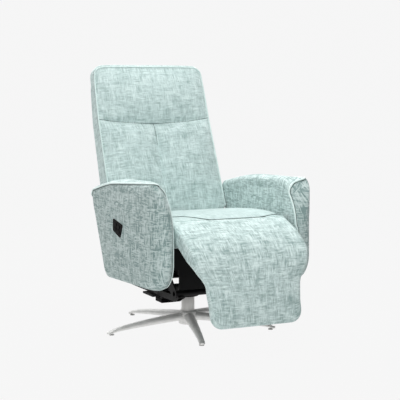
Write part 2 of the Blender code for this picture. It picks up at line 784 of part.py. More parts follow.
def build_seat_frame(body, black, cloth):
    """Side rails with their hinge lugs, cross tubes with their motor brackets, the apron and the webbing."""
    middle = (SEAT_RAIL_BOTTOM + SEAT_RAIL_TOP) / 2.0
    rail = box_rail(SEAT_RAIL_X, SEAT_RAIL_OUTER, SEAT_RAIL_FRONT, SEAT_RAIL_REAR,
                    SEAT_RAIL_BOTTOM, SEAT_RAIL_TOP)
    lugs = []
    holes = []
    for pivot, foot_y, rod in ((LEG_PIVOT, SEAT_RAIL_FRONT + LUG_FOOT, LEG_ROD_RADIUS),
                               (BACK_PIVOT, SEAT_RAIL_REAR - LUG_FOOT, BACK_ROD_RADIUS)):
        outline = link_outline(point(foot_y, middle), pivot, LUG_FOOT, LUG_EYE)
        lugs.append(prism(outline, SEAT_RAIL_OUTER - RAIL_WALL / 2.0, LUG_FACE))
        holes.append(cross_bar(pivot, SEAT_RAIL_X, LUG_FACE + LUG_THICK, rod + RUN))
    for y in (ARM_BRACKET_FRONT, ARM_BRACKET_REAR):
        stud = point(y, ARM_STUD_Z)
        holes.append(cross_bar(stud, SEAT_RAIL_X + SEAT_RAIL_WIDTH / 2.0, LUG_FACE, STUD_RADIUS + GAP))
    for side, place in SIDES:
        piece = make("seat_rail_" + side, place(rail), body, black)
        weld(piece, *[place(lug) for lug in lugs])
        cut(piece, *[place(hole) for hole in holes])
    half_length = SEAT_RAIL_X - GAP
    tube = cross_bar(FRONT_LINK_HIGH, -half_length, half_length, TUBE_RADIUS)
    front = make("seat_front_tube", tube, body, black)
    weld(front, *motor_bracket(FRONT_LINK_HIGH, BACK_MOTOR_PIVOT, SIDE_MOTOR_X))
    rim = ROD_PIN_RADIUS + ROD_PIN_PLAY
    lug_outline = link_outline(FRONT_LINK_HIGH, LIFT_ROD_PIN, LINK_EYE, rim + CRANK_RIM)
    weld(front, prism(lug_outline, CRANK_SIDE, CRANK_SIDE + CRANK_THICK))
    weld(front, prism(lug_outline, -CRANK_SIDE - CRANK_THICK, -CRANK_SIDE))
    cut(front, cross_bar(LIFT_ROD_PIN, -2.0 * ROD_PIN_HALF_LENGTH, 2.0 * ROD_PIN_HALF_LENGTH, rim))
    cut(front, cross_bar(FRONT_LINK_HIGH, -SEAT_RAIL_OUTER, SEAT_RAIL_OUTER, TUBE_RADIUS - TUBE_WALL))
    tube = cross_bar(REAR_LINK_HIGH, -half_length, half_length, TUBE_RADIUS)
    rear = make("seat_rear_tube", tube, body, black)
    weld(rear, *motor_bracket(REAR_LINK_HIGH, LEG_MOTOR_PIVOT, -SIDE_MOTOR_X))
    cut(rear, cross_bar(REAR_LINK_HIGH, -SEAT_RAIL_OUTER, SEAT_RAIL_OUTER, TUBE_RADIUS - TUBE_WALL))
    build_apron(body, black)
    build_webbing(body, cloth)


def build_apron(body, black):
    """Steel plate across the front of the seat frame, notched for the legrest's crank."""
    front = SEAT_RAIL_FRONT + APRON_SETBACK
    rear = front + APRON_THICK
    half = SEAT_RAIL_X - GAP
    apron = make("seat_apron", block((-half, front, APRON_STEP), (half, rear, SEAT_RAIL_TOP)), body, black)
    low = APRON_LOW_HALF_WIDTH
    weld(apron, block((-low, front, APRON_BOTTOM), (low, rear, (APRON_STEP + SEAT_RAIL_TOP) / 2.0)))
    room = CRANK_SIDE + CRANK_THICK + CRANK_NOTCH_ROOM
    notch_low = LEG_ROD_PIN[1] - LINK_EYE - CRANK_RIM
    cut(apron, block((-SIDE_MOTOR_X - room, front - APRON_THICK, notch_low),
                     (-SIDE_MOTOR_X + room, rear + APRON_THICK, 2.0 * SEAT_RAIL_TOP)))


def build_webbing(body, cloth):
    """Straps from rail to rail, sewn to one long strap down the middle."""
    low_z = SEAT_RAIL_TOP + GAP
    half = WEBBING_WIDTH / 2.0
    end = WEBBING_Y + (WEBBING_STRAPS - 1) * WEBBING_PITCH
    long_strap = block((-half, WEBBING_Y - half, low_z), (half, end + half, low_z + WEBBING_THICK))
    webbing = make("seat_webbing", long_strap, body, cloth)
    for i in range(WEBBING_STRAPS):
        y = WEBBING_Y + i * WEBBING_PITCH
        low = (-SEAT_RAIL_OUTER, y - half * STRAP_SHARE, low_z)
        weld(webbing, block(low, (SEAT_RAIL_OUTER, y + half * STRAP_SHARE, low_z + WEBBING_THICK)))


def motor_bracket(tube, pivot, x):
    """Two plates that stand on a seat tube, with a motor's pin between them."""
    inner = MOTOR_EYE_HALF_WIDTH + RUN
    outline = link_outline(tube, pivot, LINK_EYE, BRACKET_EYE)
    shapes = [prism(outline, low, low + CRANK_THICK) for low in (x - inner - CRANK_THICK, x + inner)]
    reach = inner + CRANK_THICK / 2.0
    shapes.append(cross_bar(pivot, x - reach, x + reach, MOTOR_PIN_RADIUS))
    return shapes


def build_seat_cushion(body, cover):
    """Crowned cushion, hollowed at the front for the legrest's knuckle and slanted at the rear."""
    room = LEG_KNUCKLE + KNUCKLE_ROOM
    back_plane = BACK_KNUCKLE + SEAT_BACK_ROOM

    def rear_at(z, inset):
        along = (z - BACK_PIVOT[1] - (back_plane + inset) * BACK.normal[1]) / BACK.along[1]
        return BACK.place(along, back_plane + inset)

    def ring(t):
        inset = edge_inset(t, SEAT_EDGE)
        crown = SEAT_CROWN * (1.0 - t ** CROWN_POWER)
        hollow = arc(LEG_PIVOT, room, SEAT_HOLLOW_LOW, SEAT_HOLLOW_HIGH, CAP_STEPS)
        hollow[-1, 1] = min(hollow[-1, 1], SEAT_FRONT_TOP - inset)
        rear_top = rear_at(SEAT_REAR_TOP - inset, 0.0)
        rear_low = rear_at(SEAT_BOTTOM, 0.0)
        shares = np.linspace(0.0, 1.0, FACE_STEPS)[1:]
        run = hollow[-1, 0] + shares * (rear_top[0] - hollow[-1, 0])
        rise = SEAT_FRONT_TOP + shares * (SEAT_REAR_TOP - SEAT_FRONT_TOP) - inset
        rise = rise + crown * np.clip(np.sin(math.pi * shares), 0.0, 1.0) ** SWELL_POWER
        top = np.column_stack([run, rise])
        foot = point(hollow[0, 0] + SEAT_FRONT_FOOT, SEAT_BOTTOM)
        outline = np.vstack([foot[None], hollow, top, rear_low[None]])
        return at_x(outline, t * (SEAT_HALF_WIDTH - GAP))

    make("seat_cushion", pad(ring), body, cover)


def arm_outline(front, top, bottom, rear, front_high_round):
    """The arm's side outline, drawn in by a given amount on each of its four sides."""
    corners = [(ARM_FRONT_LOW_Y + front, ARM_FRONT_BOTTOM + bottom),
               (ARM_REAR_LOW_Y - rear, ARM_REAR_BOTTOM + bottom),
               (ARM_REAR_HIGH_Y - rear, ARM_REAR_TOP - top),
               (ARM_SHOULDER_Y, ARM_SHOULDER - top),
               (ARM_FRONT_HIGH_Y + front, ARM_FRONT_TOP - top)]
    radii = (ARM_FRONT_LOW_ROUND, ARM_REAR_LOW_ROUND, ARM_REAR_HIGH_ROUND, ARM_SHOULDER_ROUND, front_high_round)
    return rounded(corners, radii, ARM_CORNER_STEPS, ARM_EDGE_STEPS)


def arm_rings():
    """Outlines from the inner face out: a small inner edge, a broad outer wrap and a slight bulge."""
    rings = []
    for turn in ARM_INNER_TURNS:
        draw = ARM_INNER_WRAP * (1.0 - math.cos(math.radians(turn)))
        x = ARM_CREST - (ARM_CREST - ARM_INNER) * math.sin(math.radians(turn))
        rings.append(at_x(arm_outline(draw, draw, draw / 2.0, draw, ARM_FRONT_HIGH_ROUND), x))
    for turn in ARM_OUTER_TURNS:
        share = 1.0 - math.cos(math.radians(turn))
        x = ARM_CREST + (ARM_OUTER - ARM_CREST) * math.sin(math.radians(turn))
        front_round = ARM_FRONT_HIGH_ROUND + share * (ARM_OUTER_FRONT_ROUND - ARM_FRONT_HIGH_ROUND)
        outline = arm_outline(share * ARM_FRONT_WRAP, share * ARM_TOP_WRAP, share * ARM_BOTTOM_WRAP,
                              share * ARM_REAR_WRAP, front_round)
        rings.append(at_x(outline, x))
    face = rings[-1]
    middle = face.mean(axis=0)
    for shrink, share in ARM_BULGE_RINGS:
        ring = middle + (face - middle) * shrink
        ring[:, 0] = ARM_OUTER + ARM_BULGE * share
        rings.append(ring)
    return rings


def arm_board_outline(margin):
    """The board's outline: the arm's own, drawn in all round."""
    inset = ARM_BOARD_INSET - margin
    corners = [(ARM_FRONT_LOW_Y + inset, ARM_FRONT_BOTTOM + inset),
               (ARM_REAR_LOW_Y - inset, ARM_REAR_BOTTOM + inset),
               (ARM_REAR_HIGH_Y - inset, ARM_REAR_TOP - inset),
               (ARM_FRONT_HIGH_Y + inset, ARM_FRONT_TOP - inset)]
    front_low = ARM_FRONT_LOW_ROUND - ARM_BOARD_INSET
    front_high = ARM_FRONT_HIGH_ROUND - ARM_BOARD_INSET
    return rounded(corners, (front_low, ARM_BOARD_ROUND, ARM_BOARD_ROUND, front_high), SMALL_CORNER_STEPS, 0)


def build_arms(body, cover, wood, black):
    """Each arm: a plywood board in a padded cover, open on its inner side, on a studded bracket bar."""
    form = loft(arm_rings())
    board_outer = ARM_BOARD_X + ARM_BOARD_THICK
    pocket = prism(arm_board_outline(GAP), ARM_BOARD_X - GAP, board_outer + GAP)
    window = block((ARM_INNER - ARM_BOARD_THICK, ARM_WINDOW_FRONT, ARM_WINDOW_BOTTOM),
                   (ARM_BOARD_X + ARM_BOARD_THICK / 2.0, ARM_WINDOW_REAR, ARM_WINDOW_TOP))
    board = prism(arm_board_outline(0.0), ARM_BOARD_X, board_outer)
    half = ARM_BRACKET_HEIGHT / 2.0
    bar = block((SEAT_RAIL_OUTER + GAP, ARM_BRACKET_FRONT - half, ARM_STUD_Z - half),
                (ARM_BOARD_X - GAP, ARM_BRACKET_REAR + half, ARM_STUD_Z + half))
    studs = []
    holes = []
    for y in (ARM_BRACKET_FRONT, ARM_BRACKET_REAR):
        inner = SEAT_RAIL_OUTER - RAIL_WALL
        studs.append(cross_bar(point(y, ARM_STUD_Z), inner, ARM_BOARD_X + STUD_BITE, STUD_RADIUS))
        holes.append(cross_bar(point(y, ARM_STUD_Z), SEAT_RAIL_OUTER, ARM_BOARD_X + STUD_BITE + GAP,
                               STUD_RADIUS + GAP))
    pads = {}
    for side, place in SIDES:
        pads[side] = make("arm_pad_" + side, place(form), body, cover)
        cut(pads[side], place(pocket), place(window))
        cut(make("arm_board_" + side, place(board), body, wood), *[place(hole) for hole in holes])
        weld(make("arm_bracket_" + side, place(bar), body, black), *[place(stud) for stud in studs])
    return pads["left"]


def switch_outline(margin):
    """The switch plate's slanted outline, grown by a margin."""
    corners = np.array([SWITCH_TOP_REAR, SWITCH_TOP_FRONT, SWITCH_LOW_FRONT, SWITCH_LOW_REAR])
    middle = corners.mean(axis=0)
    spokes = corners - middle
    grown = middle + spokes * (1.0 + 2.0 * margin / np.linalg.norm(spokes, axis=1))[:, None]
    return rounded(grown, [SWITCH_ROUND] * 4, SMALL_CORNER_STEPS, 0)


def key_outline(place, margin):
    """One key's outline, in line with the switch plate."""
    middle_rear = (np.array(SWITCH_TOP_REAR) + np.array(SWITCH_LOW_REAR)) / 2.0
    middle_front = (np.array(SWITCH_TOP_FRONT) + np.array(SWITCH_LOW_FRONT)) / 2.0
    heading = middle_front - middle_rear
    plate = Lean((middle_front + middle_rear) / 2.0, heading / np.linalg.norm(heading), -1.0)
    half_long = KEY_LENGTH / 2.0 + margin
    half_high = KEY_HEIGHT / 2.0 + margin
    corners = []
    for along, out in ((-1, -1), (1, -1), (1, 1), (-1, 1)):
        corners.append(plate.place(place[0] * KEY_PITCH_LONG / 2.0 + along * half_long,
                                   place[1] * KEY_PITCH_HIGH / 2.0 + out * half_high))
    return rounded(corners, [KEY_ROUND] * 4, KEY_CORNER_STEPS, 0)


def build_switch(body, arm_pad, plastic):
    """Switch plate let into the left arm, with four keys that press inwards."""
    plate = prism(switch_outline(0.0), -SWITCH_FACE, -SWITCH_BACK)
    cut(arm_pad, prism(switch_outline(GAP), -SWITCH_FACE - ARM_BULGE, -SWITCH_BACK + GAP))
    housing = soften(make("switch_plate", plate, body, plastic), SWITCH_EDGE)
    face = SWITCH_FACE + KEY_PROUD
    for name, place in (("key_lift", (-1, 1)), ("key_lower", (-1, -1)),
                        ("key_recline", (1, 1)), ("key_legrest", (1, -1))):
        floor = -face + KEY_DEPTH + KEY_TRAVEL + RUN
        cut(housing, prism(key_outline(place, RUN), -face - KEY_PROUD, floor))
        middle = key_outline(place, 0.0).mean(axis=0)
        key_body = add_body("pivot_" + name, (-face, middle[0], middle[1]), body)
        key = make(name, prism(key_outline(place, 0.0), -face, -face + KEY_DEPTH), key_body, plastic)
        soften(key, KEY_PROUD / 3.0)


def back_crown(t, along):
    """Fullness of the back pad's face: drawn in at its sides, its head seam and its centre seam."""
    low = ease((along - BACK_CROWN_START) / BACK_CROWN_RISE)
    seam = ease((along - BACK_LENGTH + BACK_SEAM_FALL) / BACK_SEAM_FALL)
    full = (BACK_CROWN + seam * (BACK_SEAM_CROWN - BACK_CROWN)) * (1.0 - t ** CROWN_POWER) * low
    groove = CENTRE_SEAM_DEPTH * np.exp(-(t * BACK_HALF_WIDTH / CENTRE_SEAM_WIDTH) ** 2)
    return full - groove * low


def build_back(body, cover, wood):
    """Back pad sleeved over its board, with a pivot rod through the knuckle at its foot."""
    pivot_out = BACK_KNUCKLE - HEAD_PIVOT_DEPTH

    def ring(t):
        inset = edge_inset(t, BACK_EDGE)
        along = np.linspace(0.0, BACK_LENGTH, FACE_STEPS)[:-1]
        front = np.column_stack([along, BACK_KNUCKLE - inset + back_crown(t, along)])
        lip = BACK_KNUCKLE - inset + back_crown(t, np.array([BACK_LENGTH]))[0]
        top = BACK_LENGTH - GAP
        seam_rear = BACK_KNUCKLE - BACK_SEAM_DEPTH + inset
        seam = [(top - (lip - pivot_out) * math.tan(HEAD_TUCK), lip), (top, pivot_out), (top, seam_rear)]
        rear_along = np.linspace(BACK_LENGTH, 0.0, REAR_STEPS)[1:-1]
        rear_out = np.interp(rear_along, (0.0, BACK_LENGTH), (-BACK_KNUCKLE + inset, seam_rear))
        rear = np.column_stack([rear_along, rear_out])
        knuckle = arc((0.0, 0.0), BACK_KNUCKLE - inset, 270.0, 90.0, ROUND_STEPS)[:-1]
        pairs = np.vstack([front, seam, rear, knuckle])
        width = np.interp(pairs[:, 0], (0.0, BACK_LENGTH), (BACK_HALF_WIDTH, BACK_SEAM_HALF_WIDTH))
        return np.column_stack([t * width, BACK.outline(pairs)])

    def board_outline(margin):
        half = BACK_BOARD_THICK / 2.0 + margin
        boss = BACK_BOSS + margin
        reach = math.sqrt(boss * boss - half * half)
        start = math.degrees(math.atan2(half, reach))
        foot = arc((0.0, 0.0), boss, start, 360.0 - start, ROUND_STEPS)
        head = [(BACK_BOARD_TOP + margin, -half), (BACK_BOARD_TOP + margin, half)]
        return np.vstack([foot, head])

    back_pad = make("back_pad", pad(ring), body, cover)
    board_half = BACK_BOARD_HALF_WIDTH
    sleeve = prism(BACK.outline(board_outline(GAP)), -board_half - GAP, board_half + GAP)
    slit_half = BACK_BOSS + GAP
    mouth = BACK.outline([(-2.0 * BACK_KNUCKLE, -slit_half), (0.0, -slit_half), (0.0, slit_half),
                          (-2.0 * BACK_KNUCKLE, slit_half)])
    cut(back_pad, sleeve, prism(mouth, -board_half - GAP, board_half + GAP))
    rod_bore = cross_bar(BACK_PIVOT, -2.0 * ROD_END_X, 2.0 * ROD_END_X, BACK_ROD_RADIUS + GAP)
    cut(back_pad, rod_bore)
    slot_half = HINGE_EYE + RUN
    slot = BACK.outline([(BACK_LENGTH - HINGE_REACH - slot_half, pivot_out - slot_half),
                         (BACK_LENGTH + slot_half, pivot_out - slot_half),
                         (BACK_LENGTH + slot_half, pivot_out + slot_half),
                         (BACK_LENGTH - HINGE_REACH - slot_half, pivot_out + slot_half)])
    cut(back_pad, both_sides(hinge_slot(slot)))
    crank_half = CRANK_SIDE + CRANK_THICK + CRANK_NOTCH_ROOM
    notch_low = SIDE_MOTOR_X - crank_half
    notch_high = SIDE_MOTOR_X + crank_half
    deep = 2.0 * BACK_KNUCKLE
    notch = BACK.outline([(-deep, -deep), (BACK_CRANK, -deep), (BACK_CRANK, deep), (-deep, deep)])
    cut(back_pad, prism(notch, notch_low, notch_high))
    step = BACK.outline([(-deep, -deep), (BACK_STEP, -deep), (BACK_STEP, deep), (-deep, deep)])
    cut(back_pad, both_sides(prism(step, SEAT_RAIL_X - KNUCKLE_ROOM, LUG_FACE + KNUCKLE_ROOM)))
    board = make("back_board", prism(BACK.outline(board_outline(0.0)), -board_half, board_half), body, wood)
    boss_end = 2.0 * BACK_BOSS
    boss_notch = BACK.outline([(-deep, -deep), (boss_end, -deep), (boss_end, deep), (-deep, deep)])
    cut(board, rod_bore, prism(boss_notch, notch_low, notch_high))
    rod_room = cross_bar(HEAD_PIVOT, -HINGE_X, HINGE_X, HINGE_PIN + RUN)
    cut(back_pad, rod_room)


def hinge_slot(outline):
    """A slot across both leaves of the head hinge."""
    return prism(outline, HINGE_X - HINGE_SLOT_ROOM, HINGE_X + 2.0 * HINGE_LEAF + RUN + HINGE_SLOT_ROOM)


def build_head(back_body, head_body, cover, steel):
    """Head pad on a steel frame, hung on a two-leaf stepped hinge that stands on the back board."""
    rear_low = HEAD_PIVOT_DEPTH - BACK_SEAM_DEPTH
    rear_high = HEAD_PIVOT_DEPTH - HEAD_TOP_DEPTH

    def ring(t):
        inset = edge_inset(t, HEAD_EDGE)
        length = HEAD_LENGTH - corner_drop(t, HEAD_TOP_HALF_WIDTH, HEAD_CORNER)
        shares = np.linspace(0.0, 1.0, FACE_STEPS)
        swell = np.sin(math.pi * np.interp(shares, (0.0, 1.0), HEAD_SWELL)) ** SWELL_POWER
        out = HEAD_PIVOT_DEPTH - inset + HEAD_CROWN * (1.0 - t ** CROWN_POWER) * swell
        cap = HEAD_TOP_DEPTH / 2.0 - inset
        along = shares * (length - cap)
        along[0] = GAP + out[0] * math.tan(HEAD_TUCK)
        front = np.column_stack([along, out])
        middle = (out[-1] + rear_high + inset) / 2.0
        spread = (out[-1] - rear_high - inset) / 2.0
        turns = np.radians(np.linspace(90.0, -90.0, CAP_STEPS))[1:-1]
        top = np.column_stack([length - cap + cap * np.cos(turns), middle + spread * np.sin(turns)])
        rear_along = np.linspace(length - cap, 0.0, REAR_STEPS)[:-1]
        rear_out = np.interp(rear_along, (0.0, HEAD_LENGTH), (rear_low + inset, rear_high + inset))
        rear = np.column_stack([rear_along, rear_out])
        seam = [(GAP, rear_low + inset), (GAP, 0.0)]
        pairs = np.vstack([front, top, rear, seam])
        width = np.interp(pairs[:, 0], (0.0, HEAD_LENGTH), (BACK_SEAM_HALF_WIDTH, HEAD_TOP_HALF_WIDTH))
        return np.column_stack([t * width, HEAD.outline(pairs)])

    head_pad = make("head_pad", pad(ring), head_body, cover)
    board_front = -HINGE_EYE + HINGE_LAP
    board_rear = board_front - HEAD_BOARD_THICK

    def board(margin, bottom):
        rear = board_rear - margin
        front = board_front + margin
        top = HEAD_BOARD_TOP + margin
        outline = HEAD.outline([(bottom, rear), (top, rear), (top, front), (bottom, front)])
        return prism(outline, -HEAD_BOARD_HALF_WIDTH - margin, HEAD_BOARD_HALF_WIDTH + margin)

    slot_half = HINGE_EYE + RUN
    slot = HEAD.outline([(-slot_half, -slot_half), (HINGE_REACH + slot_half, -slot_half),
                         (HINGE_REACH + slot_half, slot_half), (-slot_half, slot_half)])
    cut(head_pad, board(GAP, -HEAD_BOARD_BOTTOM), both_sides(hinge_slot(slot)))
    rod_room = cross_bar(HEAD_PIVOT, -HINGE_X, HINGE_X, HINGE_PIN + RUN)
    cut(head_pad, rod_room)
    upper_x = HINGE_X + HINGE_LEAF + RUN
    upper = prism(link_outline(HEAD_PIVOT, HEAD.place(HINGE_REACH, 0.0), HINGE_EYE, HINGE_EYE),
                  upper_x, upper_x + HINGE_LEAF)
    hole = cross_bar(HEAD_PIVOT, HINGE_X, upper_x + 2.0 * HINGE_LEAF, HINGE_PIN + RUN)
    frame = make("head_frame", board(0.0, HEAD_BOARD_BOTTOM), head_body, steel)
    weld(frame, upper, mirrored(upper))
    cut(frame, both_sides(hole))
    low_end = BACK.place(BACK_LENGTH - HINGE_REACH, BACK_KNUCKLE - HEAD_PIVOT_DEPTH)
    lower = prism(link_outline(HEAD_PIVOT, low_end, HINGE_EYE, HINGE_EYE), HINGE_X, HINGE_X + HINGE_LEAF)
    rod_end = upper_x + HINGE_LEAF
    hinge = make("head_hinge", cross_bar(HEAD_PIVOT, -rod_end, rod_end, HINGE_PIN), back_body, steel)
    weld(hinge, lower, mirrored(lower))


def build_legrest(body, cover, black):
    """Legrest pad on a steel frame of two arms and a plate, turning on a rod through its knuckle."""
    nose_room = FLAP_KNUCKLE + KNUCKLE_ROOM

    def ring(t):
        inset = edge_inset(t, LEG_EDGE)
        shares = np.linspace(0.0, 1.0, FACE_STEPS)
        nose = arc((FLAP_OUT, FLAP_RISE), nose_room, LEG_NOSE_START, LEG_NOSE_END, CAP_STEPS)
        nose[0, 1] = min(nose[0, 1], LEG_KNUCKLE - inset - LEG_LIP)
        crown = LEG_CROWN * (1.0 - LEG_SIDE_FALL * t ** CROWN_POWER) * np.sin(math.pi * shares)
        top = np.column_stack([shares * (nose[0, 0] - LEG_LIP), LEG_KNUCKLE - inset + crown])
        under = -LEG_UNDERSIDE + inset / 2.0
        floor = [(nose[-1, 0] - LEG_LIP, under), (LEG_BOARD_START, under)]
        knuckle = arc((0.0, 0.0), LEG_KNUCKLE - inset, LEG_KNUCKLE_END, 90.0, ROUND_STEPS)[:-1]
        return at_x(LEG.outline(np.vstack([top, nose, floor, knuckle])), t * LEG_HALF_WIDTH)

    leg_pad = make("legrest_pad", pad(ring), body, cover)
    rod_bore = cross_bar(LEG_PIVOT, -2.0 * ROD_END_X, 2.0 * ROD_END_X, LEG_ROD_RADIUS + GAP)
    slot_half = LEG_ARM_EYE + GAP
    deep = 2.0 * LEG_KNUCKLE
    far = 2.0 * FLAP_OUT
    slot_top = slot_half + FLAP_RISE
    slot = LEG.outline([(-slot_half, slot_top), (-slot_half, -deep), (far, -deep), (far, slot_top)])
    arm_slot = prism(slot, LEG_ARM_X - GAP, LEG_ARM_X + LEG_ARM_THICK + GAP)
    crank_half = CRANK_SIDE + CRANK_THICK + CRANK_NOTCH_ROOM
    notch_top = 2.0 * LEG_ROD_RADIUS
    notch_deep = LEG_CRANK + LEG_KNUCKLE
    notch = LEG.outline([(-notch_deep, notch_top), (-notch_deep, -notch_deep), (notch_deep, -notch_deep),
                         (notch_deep, notch_top)])
    crank_notch = prism(notch, -SIDE_MOTOR_X - crank_half, -SIDE_MOTOR_X + crank_half)
    cut(leg_pad, rod_bore, both_sides(arm_slot), crank_notch)
    plate_top = -LEG_UNDERSIDE - GAP
    plate_low = plate_top - LEG_BOARD_THICK
    plate_end = FLAP_OUT - nose_room - GAP
    outline = LEG.outline([(LEG_BOARD_START, plate_low), (plate_end, plate_low), (plate_end, plate_top),
                           (LEG_BOARD_START, plate_top)])
    frame = make("legrest_frame", prism(outline, -LEG_BOARD_HALF_WIDTH, LEG_BOARD_HALF_WIDTH), body, black)
    arm = link_outline(LEG_PIVOT, FLAP_PIVOT, LEG_ARM_EYE, LEG_ARM_EYE)
    web_end = plate_end - LEG_LIP
    web = LEG.outline([(LEG_BOARD_START, plate_low + LEG_LIP), (web_end, plate_low + LEG_LIP), (web_end, 0.0),
                       (LEG_BOARD_START, 0.0)])
    arm_end = LEG_ARM_X + LEG_ARM_THICK
    for place in (as_drawn, mirrored):
        weld(frame, place(prism(arm, LEG_ARM_X, arm_end)), place(prism(web, LEG_ARM_X, arm_end)))
    leg_hole = cross_bar(LEG_PIVOT, LEG_ARM_X / 2.0, 2.0 * LEG_ARM_X, LEG_ROD_RADIUS + GAP)
    flap_hole = cross_bar(FLAP_PIVOT, LEG_ARM_X / 2.0, 2.0 * LEG_ARM_X, FLAP_ROD_RADIUS + RUN)
    cut(frame, both_sides(leg_hole), both_sides(flap_hole))


def build_flap(body, cover, wood, steel):
    """Foot flap: a pad with round lower corners on its own board, turning on a rod at the legrest's nose."""

    def ring(t):
        inset = edge_inset(t, FLAP_EDGE)
        length = FLAP_LENGTH - corner_drop(t, FLAP_HALF_WIDTH, FLAP_CORNER)
        rear = FLAP_BACK_PLANE
        along = np.linspace(0.0, 1.0, FACE_STEPS)
        swell = np.clip(np.sin(math.pi * along), 0.0, 1.0) ** SWELL_POWER
        crown = FLAP_CROWN * (1.0 - t ** CROWN_POWER) * swell
        out = FLAP_KNUCKLE - inset + crown
        spread = (FLAP_KNUCKLE - inset - rear) / 2.0
        end = length - spread
        front = np.column_stack([along * end, out])
        turns = np.radians(np.linspace(90.0, -90.0, CAP_STEPS))[1:-1]
        foot = np.column_stack([end + spread * np.cos(turns), rear + spread + spread * np.sin(turns)])
        back = [(end, rear), (FLAP_BOARD_START, rear)]
        knuckle = arc((0.0, 0.0), FLAP_KNUCKLE - inset, FLAP_KNUCKLE_END, 90.0, ROUND_STEPS)[:-1]
        pairs = np.vstack([front, foot, back, knuckle])
        flare = (1.0 - ease(pairs[:, 0] / FLAP_FLARE)) * (FLAP_TOP_HALF_WIDTH - FLAP_HALF_WIDTH)
        return np.column_stack([t * (FLAP_HALF_WIDTH + flare), FLAP.outline(pairs)])

    flap_pad = make("flap_pad", pad(ring), body, cover)
    reach = FLAP_KNUCKLE + KNUCKLE_ROOM
    arm_room = cross_bar(FLAP_PIVOT, LEG_ARM_X - RUN, LEG_ARM_X + LEG_ARM_THICK + RUN, reach)
    beyond = 2.0 * FLAP_TOP_HALF_WIDTH
    rod_bore = cross_bar(FLAP_PIVOT, -beyond, beyond, FLAP_ROD_RADIUS + GAP)
    cut(flap_pad, both_sides(arm_room), rod_bore)
    rod_half = FLAP_TOP_HALF_WIDTH - FLAP_EDGE
    make("flap_hinge_rod", cross_bar(FLAP_PIVOT, -rod_half, rod_half, FLAP_ROD_RADIUS), body, steel)
    top = FLAP_BACK_PLANE - GAP
    end = FLAP_LENGTH - FLAP_BOARD_MARGIN
    outline = FLAP.outline([(FLAP_BOARD_START, top - FLAP_BOARD_THICK), (end, top - FLAP_BOARD_THICK),
                            (end, top), (FLAP_BOARD_START, top)])
    half = FLAP_HALF_WIDTH - FLAP_BOARD_MARGIN
    make("flap_board", prism(outline, -half, half), body, wood)


def build_pivot_rod(name, body, pivot, pin, x, radius, steel):
    """A pivot rod with its crank welded on; the crank's holes leave the motor rod's pin room to move."""
    rod = make(name, cross_bar(pivot, -ROD_END_X, ROD_END_X, radius), body, steel)
    rim = ROD_PIN_RADIUS + ROD_PIN_PLAY
    outline = link_outline(pivot, pin, radius + CRANK_RIM, rim + CRANK_RIM)
    for low in (x - CRANK_SIDE - CRANK_THICK, x + CRANK_SIDE):
        weld(rod, prism(outline, low, low + CRANK_THICK))
    reach = CRANK_SIDE + 2.0 * CRANK_THICK
    cut(rod, cross_bar(pin, x - reach, x + reach, rim))


def build_actuator(tag, bodies, pivot, pin, x, side, pivot_radius, strokes, finishes):
    """A linear actuator: gearbox, motor can and guide tube in one housing, and its sliding rod."""
    motor_body, rod_body = bodies
    stroke_in, stroke_out = strokes
    plastic, steel = finishes
    length = float(np.linalg.norm(pin - pivot))
    line = Lean(pivot, (pin - pivot) / length, 1.0)
    tube_end = length - stroke_in - ROD_REACH
    rod_start = tube_end - ROD_GRIP - stroke_out
    bore_start = rod_start - stroke_in - RUN

    def at(along, offset):
        y, z = line.place(along, 0.0)
        return (x + side * offset, y, z)

    def slab(along_low, along_high, half, x_low, x_high):
        pairs = [(along_low, -half), (along_high, -half), (along_high, half), (along_low, half)]
        return prism(line.outline(pairs), x_low, x_high)

    far = (x - GEARBOX_NEAR, x + GEARBOX_FAR) if side > 0 else (x - GEARBOX_FAR, x + GEARBOX_NEAR)
    gearbox = slab(GEARBOX_START, GEARBOX_END, GEARBOX_HALF_HEIGHT, *far)
    motor = soften(make(tag + "_motor", gearbox, motor_body, plastic), GEARBOX_EDGE)
    middle = (GEARBOX_START + GEARBOX_END) / 2.0
    eye_radius = max(MOTOR_EYE_RADIUS, pivot_radius + CRANK_RIM)
    eye = cross_bar(pivot, x - MOTOR_EYE_HALF_WIDTH, x + MOTOR_EYE_HALF_WIDTH, eye_radius)
    neck_half = MOTOR_EYE_HALF_WIDTH - RUN
    neck = slab(0.0, middle, eye_radius * NECK_SHARE, x - neck_half, x + neck_half)
    tube = cylinder(at(middle, 0.0), at(tube_end, 0.0), MOTOR_TUBE_RADIUS)
    can = cylinder(at(middle, MOTOR_CAN_OFFSET), at(MOTOR_CAN_END, MOTOR_CAN_OFFSET), MOTOR_CAN_RADIUS)
    weld(motor, eye, neck, tube, can)
    cut(motor, cross_bar(pivot, x - 2.0 * GEARBOX_FAR, x + 2.0 * GEARBOX_FAR, pivot_radius + RUN))
    cut(motor, cylinder(at(bore_start, 0.0), at(length, 0.0), ROD_RADIUS + RUN))
    bar = cylinder(at(rod_start, 0.0), at(length, 0.0), ROD_RADIUS)
    rod = make(tag + "_rod", bar, rod_body, steel)
    knuckle = slab(length - ROD_END_SIZE, length + ROD_END_SIZE, ROD_END_SIZE, x - ROD_END_HALF_WIDTH,
                   x + ROD_END_HALF_WIDTH)
    weld(rod, knuckle, cross_bar(pin, x - ROD_PIN_HALF_LENGTH, x + ROD_PIN_HALF_LENGTH, ROD_PIN_RADIUS))


